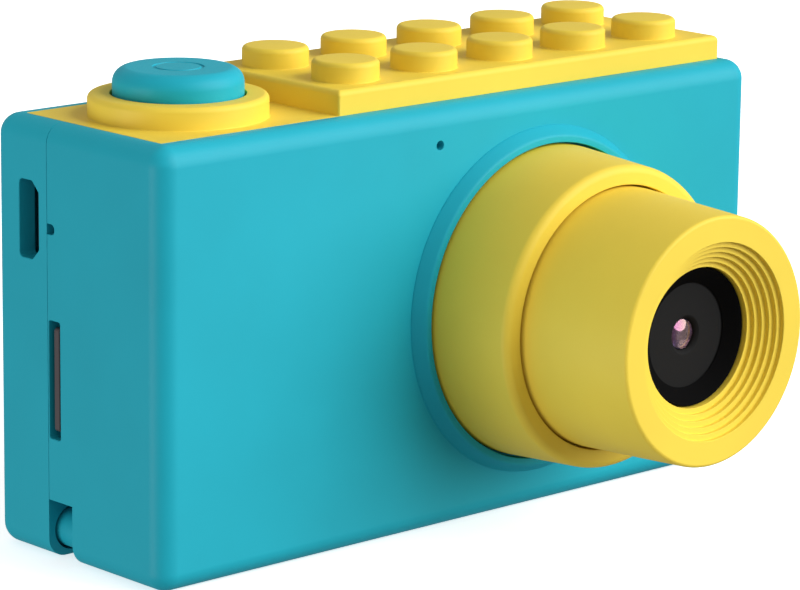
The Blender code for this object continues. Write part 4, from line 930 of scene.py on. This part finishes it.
TUBE_RADIUS = 14.07 * MM
FUNNEL_RADIUS = 10.5 * MM
FUNNEL_THROAT = 7.5 * MM
FUNNEL_DEPTH = 3.0 * MM
FUNNEL_STEPS = 5
RING_WALL = 1.9 * MM
RING_FACE = 1.8 * MM
TUBE_DRAFT = 0.75 * MM
TUBE_WALL = 2.4 * MM
TUBE_FLANGE = 2.4 * MM
TUBE_PILOT_DEPTH = 1.9 * MM
NECK_LENGTH = 2.6 * MM
BEZEL_LENGTH = 4.6 * MM
PLATE_LIP = 0.9 * MM
PLATE_THICKNESS = 0.8 * MM
BEZEL_MOUTH = 5.56 * MM
BEZEL_DEPTH = 1.19 * MM
LENS_RADIUS = 1.59 * MM
MOUTH = TUBE_FRONT - FUNNEL_DEPTH
THROAT = MOUTH - BEZEL_DEPTH


def base_ring():
    """The wide first tier: a cup with the tube's hole in its front."""
    hollow = RING_RADIUS - RING_WALL
    rim = RING_RADIUS - 0.7 * MM
    fillet = 0.9 * MM
    inner = TUBE_RADIUS + RUN_GAP
    profile = [(hollow, FIT_GAP), (RING_RADIUS - 0.1 * MM, FIT_GAP)]
    profile += [(RING_RADIUS, FIT_GAP + 0.1 * MM), (RING_RADIUS - 0.02 * MM, FIT_GAP + 0.5 * MM)]
    profile += arc((rim - fillet, RING_FRONT - fillet), fillet, 3.5, 90, 12)
    profile += [(inner + 0.15 * MM, RING_FRONT), (inner + 0.04 * MM, RING_FRONT - 0.04 * MM)]
    profile += [(inner, RING_FRONT - 0.15 * MM), (inner, RING_FRONT - RING_FACE)]
    profile += [(hollow, RING_FRONT - RING_FACE)]
    made = turned("lens_ring", profile, LENS_PLACE, FORWARD, SIDES_LARGE)
    piece(made, "camera", YELLOW, "lens_base_ring", slot="yellow_plastic")


def tube():
    """The second tier: a drafted tube on a foot, with a shoulder inside the ring's front."""
    seat = FIT_GAP
    foot = seat + TUBE_FLANGE
    shoulder = RING_RADIUS - RING_WALL - RUN_GAP
    body = TUBE_RADIUS - 0.9 * MM
    tip = TUBE_RADIUS - TUBE_DRAFT
    inner = TUBE_RADIUS - TUBE_WALL
    flange_top = RING_FRONT - RING_FACE - FIT_GAP
    flange_low = flange_top - 1.5 * MM
    fillet = 0.4 * MM
    profile = [(LENS_OPENING, seat), (shoulder, seat), (shoulder, foot), (body, foot)]
    profile += [(body, flange_low), (shoulder, flange_low), (shoulder, flange_top)]
    profile += [(TUBE_RADIUS, flange_top), (TUBE_RADIUS, RING_FRONT)]
    profile += arc((tip - fillet, TUBE_FRONT - fillet), fillet, 3, 90, 10)
    profile += funnel_steps()
    neck = MOUTH - NECK_LENGTH
    profile += [(FUNNEL_THROAT, neck), (inner, neck - 1.5 * MM)]
    profile += [(inner, foot), (LENS_OPENING, foot)]
    made = turned("lens_barrel", profile, LENS_PLACE, FORWARD, SIDES_LARGE)
    for place in tube_screw_places(FRONT_Y - seat):
        cut(made, disc(SHANK_RADIUS + THREAD_GAP, -OVERLAP, TUBE_PILOT_DEPTH, place, FORWARD))
    piece(made, "camera", YELLOW, "lens_tube", slot="yellow_plastic")


def funnel_steps():
    """Treads and risers going in from the tube's face, their edges eased."""
    tread = (FUNNEL_RADIUS - FUNNEL_THROAT) / FUNNEL_STEPS
    riser = FUNNEL_DEPTH / (FUNNEL_STEPS + 1)
    ease = 0.05 * MM
    radius, height = FUNNEL_RADIUS, TUBE_FRONT
    points = []
    for _ in range(FUNNEL_STEPS):
        points += [(radius + ease, height), (radius, height - ease)]
        height -= riser
        points += [(radius, height + ease * 0.4), (radius - ease * 0.4, height)]
        radius -= tread
    return points + [(radius + ease, height), (radius, height - ease)]


def optics():
    """The black cone, the disc at its throat and the domed glass in the disc."""
    outer = FUNNEL_THROAT - SEAM_GAP
    plate = BEZEL_MOUTH + PLATE_LIP
    back = MOUTH - BEZEL_LENGTH
    bezel = [(plate, back), (outer, back), (outer, MOUTH - 0.08 * MM)]
    bezel += [(outer - 0.08 * MM, MOUTH), (outer - 0.2 * MM, MOUTH - 0.01 * MM)]
    bezel += [(BEZEL_MOUTH + 0.1 * MM, THROAT + 0.08 * MM), (BEZEL_MOUTH, THROAT), (plate, THROAT)]
    made = turned("lens_cone", bezel, LENS_PLACE, FORWARD, SIDES_LARGE)
    piece(made, "camera", BLACK, "lens_bezel", slot="black_gloss")

    plate -= THREAD_GAP
    front = THROAT - FIT_GAP / 2
    back = front - PLATE_THICKNESS
    hole = LENS_RADIUS + THREAD_GAP
    ring = [(hole, back), (plate, back), (plate, front), (LENS_RADIUS + 0.55 * MM, front)]
    ring += [(LENS_RADIUS + 0.48 * MM, front - 0.03 * MM), (hole + 0.04 * MM, front - 0.3 * MM)]
    ring += [(hole, front - 0.4 * MM)]
    made = turned("lens_disc", ring, LENS_PLACE, FORWARD)
    piece(made, "camera", DARK_GREY, "lens_plate", slot="dark_grey_plastic")

    dome = [(0, back), (LENS_RADIUS, back), (LENS_RADIUS, front - 0.5 * MM)]
    for step in range(1, 9):
        share = 1 - step / 8
        dome.append((LENS_RADIUS * share, front - 0.15 * MM - 0.33 * MM * share**2))
    made = turned("lens_front_glass", dome, LENS_PLACE, FORWARD, SIDES_SMALL)
    piece(made, "camera", COATED, "lens_glass", slot="lens_glass")


# --- Rear: screen, keys and screws ---


def screen_window():
    """The clear window, with a printed frame on its back round the view."""
    low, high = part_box("screen_window")
    outline = rectangle((low.x, low.z), (high.x, high.z), 0.9 * MM)
    thick = high.y - low.y
    ease = 0.12 * MM
    levels = [(0.16 * MM, 0), (thick - ease, 0), (thick - ease * 0.3, -ease * 0.3), (thick, -ease)]
    clear = upright_prism("window_plate", outline, levels, low.y)
    piece(clear, "camera", CLEAR, "screen_window", slot="window_plastic")
    frame_print = upright_prism("window_mask", outline, [(0, 0), (0.1 * MM, 0)], low.y)
    panel_low, panel_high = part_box("lcd_panel")
    view_low = (panel_low.x + PRINT_INSET, panel_low.z + PRINT_INSET)
    view_high = (panel_high.x - PRINT_INSET, panel_high.z - PRINT_INSET)
    view = rectangle(view_low, view_high, 0.5 * MM)
    cut(frame_print, upright_prism("view", view, [(-OVERLAP, 0), (OVERLAP, 0)], low.y))
    piece(frame_print, "camera", PRINT, slot="black_gloss")


def key_cap(key):
    """The cap with its flange and nib, and the inked mark sunk into its face."""
    name, body = key + "_key", key + "_press"
    radius = key_radius(name)
    back = INNER_REAR_Y - FIT_GAP
    x, _, z = node_middle(name)
    low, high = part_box(name)
    top = high.y - back
    nib = low.y - back
    fillet = 0.5 * MM
    dish = 0.06 * MM
    wide = radius + KEY_FLANGE
    flange = -1.0 * MM
    cap = [(0, nib), (0.9 * MM, nib), (0.9 * MM, flange), (wide, flange), (wide, 0), (radius, 0)]
    cap += arc((radius - fillet, top - fillet), fillet, 0, 90, 8)
    cap += [(radius * 0.5, top - dish * 0.7), (0, top - dish)]
    made = turned(name + "_cap", cap, (x, back, z), REARWARD)
    sunk = 0.16 * MM
    marks = key_marks(key, x, z)
    for outline in marks:
        cut(made, upright_prism("mark", outline, [(-sunk, 0), (1 * MM, 0)], high.y - dish))
    piece(made, body, YELLOW, name, slot="key_plastic")
    for index, outline in enumerate(marks):
        levels = [(-sunk - 0.1 * MM, -0.01 * MM), (-0.05 * MM, -0.01 * MM)]
        levels += [(-0.03 * MM, -0.03 * MM)]
        ink = upright_prism(f"{name}_mark_{index}", outline, levels, high.y - dish)
        piece(ink, body, KEY_MARK, slot="key_plastic")


def key_marks(key, x, z):
    """Plain symbols: arrows, a play triangle, a ring, a power sign and a square for the mode."""
    size = 1.1 * MM
    triangle = [(size, 0), (-size * 0.55, size * 0.95), (-size * 0.55, -size * 0.95)]
    # Seen from behind, +X is on the left.
    turns = {"right": 180, "up": 90, "left": 0, "down": 270, "play": 180}
    if key in turns:
        scale = 0.8 if key == "play" else 1.0
        angle = math.radians(turns[key])
        points = []
        for a, b in triangle:
            along = a * math.cos(angle) - b * math.sin(angle)
            across = a * math.sin(angle) + b * math.cos(angle)
            points.append((x + along * scale, z + across * scale, 0.14 * MM))
        return [rounded(points, 3)]
    if key == "ok":
        return [ring_sector(x, z, 1.25 * MM, 1.65 * MM, 5, 355)]
    if key == "power":
        bar = rectangle((x - 0.16 * MM, z + 0.15 * MM), (x + 0.16 * MM, z + 1.2 * MM), 0.1 * MM, 3)
        return [ring_sector(x, z, 0.72 * MM, 1.02 * MM, 125, 415), bar]
    half = 0.8 * MM
    return [rectangle((x - half, z - half * 0.8), (x + half, z + half * 0.8), 0.2 * MM, 4)]


def ring_sector(x, z, inner, outer, start, end):
    """Part of a flat ring, from one angle to another in degrees."""
    points = arc((x, z), outer, start, end, 28)
    return points + arc((x, z), inner, end, start, 28)


def fine_screw(name):
    """A pan-head screw with rings for its thread and a cross in its head."""
    middle = node_middle(name)
    low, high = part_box(name)
    length = high.y - HEAD_HEIGHT - low.y
    core = SHANK_RADIUS * 0.8
    profile = [(0, -length), (SHANK_RADIUS * 0.45, -length), (core, -length + THREAD_PITCH)]
    turns = int((length - 2 * THREAD_PITCH) / THREAD_PITCH)
    for index in range(turns):
        height = -length + 0.8 * MM + index * THREAD_PITCH
        profile += [(core, height), (SHANK_RADIUS, height + 0.25 * MM)]
    profile += [(core, -0.3 * MM), (core, 0), (HEAD_RADIUS * 0.97, 0)]
    profile += arc((HEAD_RADIUS - 0.5 * MM, HEAD_HEIGHT - 0.5 * MM), 0.5 * MM, -20, 78, 6)
    profile += [(HEAD_RADIUS * 0.4, HEAD_HEIGHT - 0.01 * MM), (0, HEAD_HEIGHT)]
    place = (middle.x, high.y - HEAD_HEIGHT, middle.z)
    made = turned(name + "_fine", profile, place, REARWARD, SIDES_SMALL)
    arm, half = HEAD_RADIUS * 0.55, HEAD_RADIUS * 0.15
    levels = [(0, -half * 0.3), (2 * MM, half * 0.3)]
    for wide, tall in ((arm, half), (half, arm)):
        low = (middle.x - wide, middle.z - tall)
        outline = rectangle(low, (middle.x + wide, middle.z + tall), 0.05 * MM, 2)
        cut(made, upright_prism("slot", outline, levels, high.y - CROSS_DEPTH))
    piece(made, "camera", METAL, name, slot="plated_steel")


# --- Left side: port and card ---


def usb_section(low, high, inset):
    """The port's (y, z) outline: a rectangle with its two front corners cut off."""
    near, far = low.y + inset, high.y - inset
    bottom, top = low.z + inset, high.z - inset
    corners = [(near, bottom + USB_SLANT), (near + USB_SLANT, bottom), (far, bottom)]
    corners += [(far, top), (near + USB_SLANT, top), (near, top - USB_SLANT)]
    return rounded([(y, z, 0.3 * MM) for y, z in corners], 4)


def usb():
    """The port's can, with its tongue and five contacts."""
    low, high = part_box("usb_port")
    port = side_prism("usb_can", usb_section(low, high, 0), low.x, high.x)
    hollow = usb_section(low, high, USB_SKIN)
    cut(port, side_prism("hollow", hollow, low.x - OVERLAP, high.x - 0.5 * MM))
    piece(port, "camera", METAL, "usb_port", slot="plated_steel")
    low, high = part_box("usb_tongue")
    tongue = rectangle((low.y, low.z), (high.y, high.z), 0.12 * MM, 3)
    made = side_prism("usb_blade", tongue, low.x, high.x)
    piece(made, "camera", INNER_BLACK, "usb_tongue", slot="black_plastic")
    pitch = (high.z - low.z) / 5.5
    for index in range(5):
        z = (low.z + high.z) / 2 + (index - 2) * pitch
        start = (low.x + 0.2 * MM, low.y - 0.08 * MM, z - 0.15 * MM)
        end = (high.x - 0.1 * MM, low.y + 0.05 * MM, z + 0.15 * MM)
        contact = block(f"usb_contact_{index}", start, end, 0.03 * MM)
        piece(contact, "camera", GOLD, slot="plated_steel")


def card():
    """The card, with the notches of its upper edge and a groove for a fingernail."""
    low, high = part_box("memory_card")
    notch = 0.5 * MM
    step_z, deep_z = high.z - notch, high.z - notch * 1.5
    corners = [(low.x, low.z, 0.4 * MM), (low.x, high.z, 0.4 * MM)]
    corners += [(low.x + 8.6 * MM, high.z, 0.1 * MM), (low.x + 9.4 * MM, step_z, 0.1 * MM)]
    corners += [(low.x + 9.4 * MM, deep_z, 0.05 * MM), (low.x + 10.0 * MM, deep_z, 0.05 * MM)]
    corners += [(low.x + 10.6 * MM, step_z, 0.1 * MM), (high.x, step_z - 0.8 * MM, 0.4 * MM)]
    outline = rounded(corners + [(high.x, low.z, 0.4 * MM)], 4)
    thick = high.y - low.y
    ease = 0.08 * MM
    levels = [(0, -ease), (ease, 0), (thick - ease, 0), (thick, -ease)]
    made = upright_prism("card_body", outline, levels, low.y)
    start, end = (low.x + 0.5 * MM, low.z + 1.5 * MM), (low.x + 0.9 * MM, high.z - 1.5 * MM)
    thumb = rectangle(start, end, 0.15 * MM, 3)
    cut(made, upright_prism("thumb", thumb, [(-OVERLAP, 0), (0.12 * MM, 0)], low.y))
    piece(made, "card", CARD, "memory_card", slot="card_plastic")


front_shell()
rear_shell()
top_deck()
shutter_cap()
base_ring()
tube()
optics()
screen_window()
for key in KEYS:
    key_cap(key)
for fastener in SHELL_SCREWS:
    fine_screw(fastener)
usb()
card()

# --- Looks of the CAD nodes that stay ---

STAYING = {
    "black_gloss": BLACK,
    "black_plastic": INNER_BLACK,
    "dark_grey_plastic": DARK_GREY,
    "lens_glass": COATED,
    "lcd_glass": PANEL,
    "plated_steel": METAL,
    "circuit_board": BOARD,
    "chip_package": CHIP,
    "flat_cable": FLEX,
    "battery_foil": FOIL,
    "lead_sleeve": SLEEVE,
    "switch_plastic": SWITCH_WHITE,
    "blue_plastic": BLUE,
    "yellow_plastic": YELLOW,
    "key_plastic": YELLOW,
    "window_plastic": CLEAR,
    "card_plastic": CARD,
}
for name, node in frame["nodes"].items():
    for place in node.material_slots:
        known = place.material.name.split(".")[0]
        place.material = STAYING.get(known, METAL)
for place in frame["nodes"]["lens_cell"].material_slots:
    place.material = ELEMENT

# --- Floor, camera and light ---

VIEW_AZIMUTH = math.radians(-42.774)
VIEW_ELEVATION = math.radians(13.016)
VIEW_ROLL = math.radians(0.6928)
VIEW_LENS = 178.53
VIEW_SHIFT = (-7.415 * MM, 24.478 * MM, 427.877 * MM)
FLOOR_SIZE = 3.0
FLOOR_GLOW = 0.7
WORLD_BELOW = 0.24
WORLD_ABOVE = 0.42


def camera():
    """The view, placed from its angles and its shift from the foot of the front face."""
    data = bpy.data.cameras.new("camera_view")
    data.lens = VIEW_LENS
    data.sensor_width = 36.0
    data.clip_start = 0.01
    made = linked("camera_view", data)
    aside, rise = VIEW_AZIMUTH, VIEW_ELEVATION
    flat = math.cos(rise)
    back = Vector((math.sin(aside) * flat, -math.cos(aside) * flat, math.sin(rise)))
    level = Vector((math.cos(aside), math.sin(aside), 0))
    right = level * math.cos(VIEW_ROLL) + back.cross(level) * math.sin(VIEW_ROLL)
    up = back.cross(right)
    turn = Matrix((right, up, back)).transposed()
    place = Vector((0, FRONT_Y, 0)) + turn @ Vector(VIEW_SHIFT)
    made.matrix_world = Matrix.Translation(place) @ turn.to_4x4()
    bpy.context.scene.camera = made


def sun(name, toward, strength, spread):
    """A broad, even light that comes from the given direction."""
    data = bpy.data.lights.new(name, "SUN")
    data.energy = strength
    data.angle = math.radians(spread)
    linked(name, data).rotation_euler = Vector(toward).to_track_quat("Z", "Y").to_euler()


def floor():
    """A pale floor that glows a little and lights nothing else."""
    shape = bmesh.new()
    bmesh.ops.create_grid(shape, x_segments=4, y_segments=4, size=FLOOR_SIZE)
    made = object_from("floor", shape, (0, 0, -0.0001))
    look = Look("pale_floor")
    tone = look.remap(look.noise(0.05), 0.0, 1.0)
    base = look.blend(tone, (0.93, 0.93, 0.93, 1), (0.95, 0.95, 0.95, 1))
    look.link(base, look.shader.inputs["Emission Color"])
    look.set(Emission_Strength=FLOOR_GLOW)
    made.data.materials.append(look.finish(base, look.remap(look.noise(0.02), 0.75, 0.85)))
    made.visible_diffuse = False
    made.visible_glossy = False
    made.visible_shadow = False


def world():
    """An even studio surround, brighter above than below."""
    made = bpy.data.worlds.new("studio")
    bpy.context.scene.world = made
    made.use_nodes = True
    tree = made.node_tree
    background = tree.nodes["Background"]
    background.inputs["Color"].default_value = (1.0, 1.0, 1.0, 1)
    toward = tree.nodes.new("ShaderNodeTexCoord")
    split = tree.nodes.new("ShaderNodeSeparateXYZ")
    strength = tree.nodes.new("ShaderNodeMapRange")
    ends = {"From Min": -0.6, "From Max": 0.6, "To Min": WORLD_BELOW, "To Max": WORLD_ABOVE}
    for name, value in ends.items():
        strength.inputs[name].default_value = value
    tree.links.new(toward.outputs["Generated"], split.inputs["Vector"])
    tree.links.new(split.outputs["Z"], strength.inputs["Value"])
    tree.links.new(strength.outputs["Result"], background.inputs["Strength"])


bpy.context.scene.view_settings.view_transform = "Standard"
camera()
floor()
world()
sun("key_light", (0.47, -0.7, 0.42), 3.4, 60)
sun("left_fill", (-1.0, 0.25, -0.25), 1.3, 30)
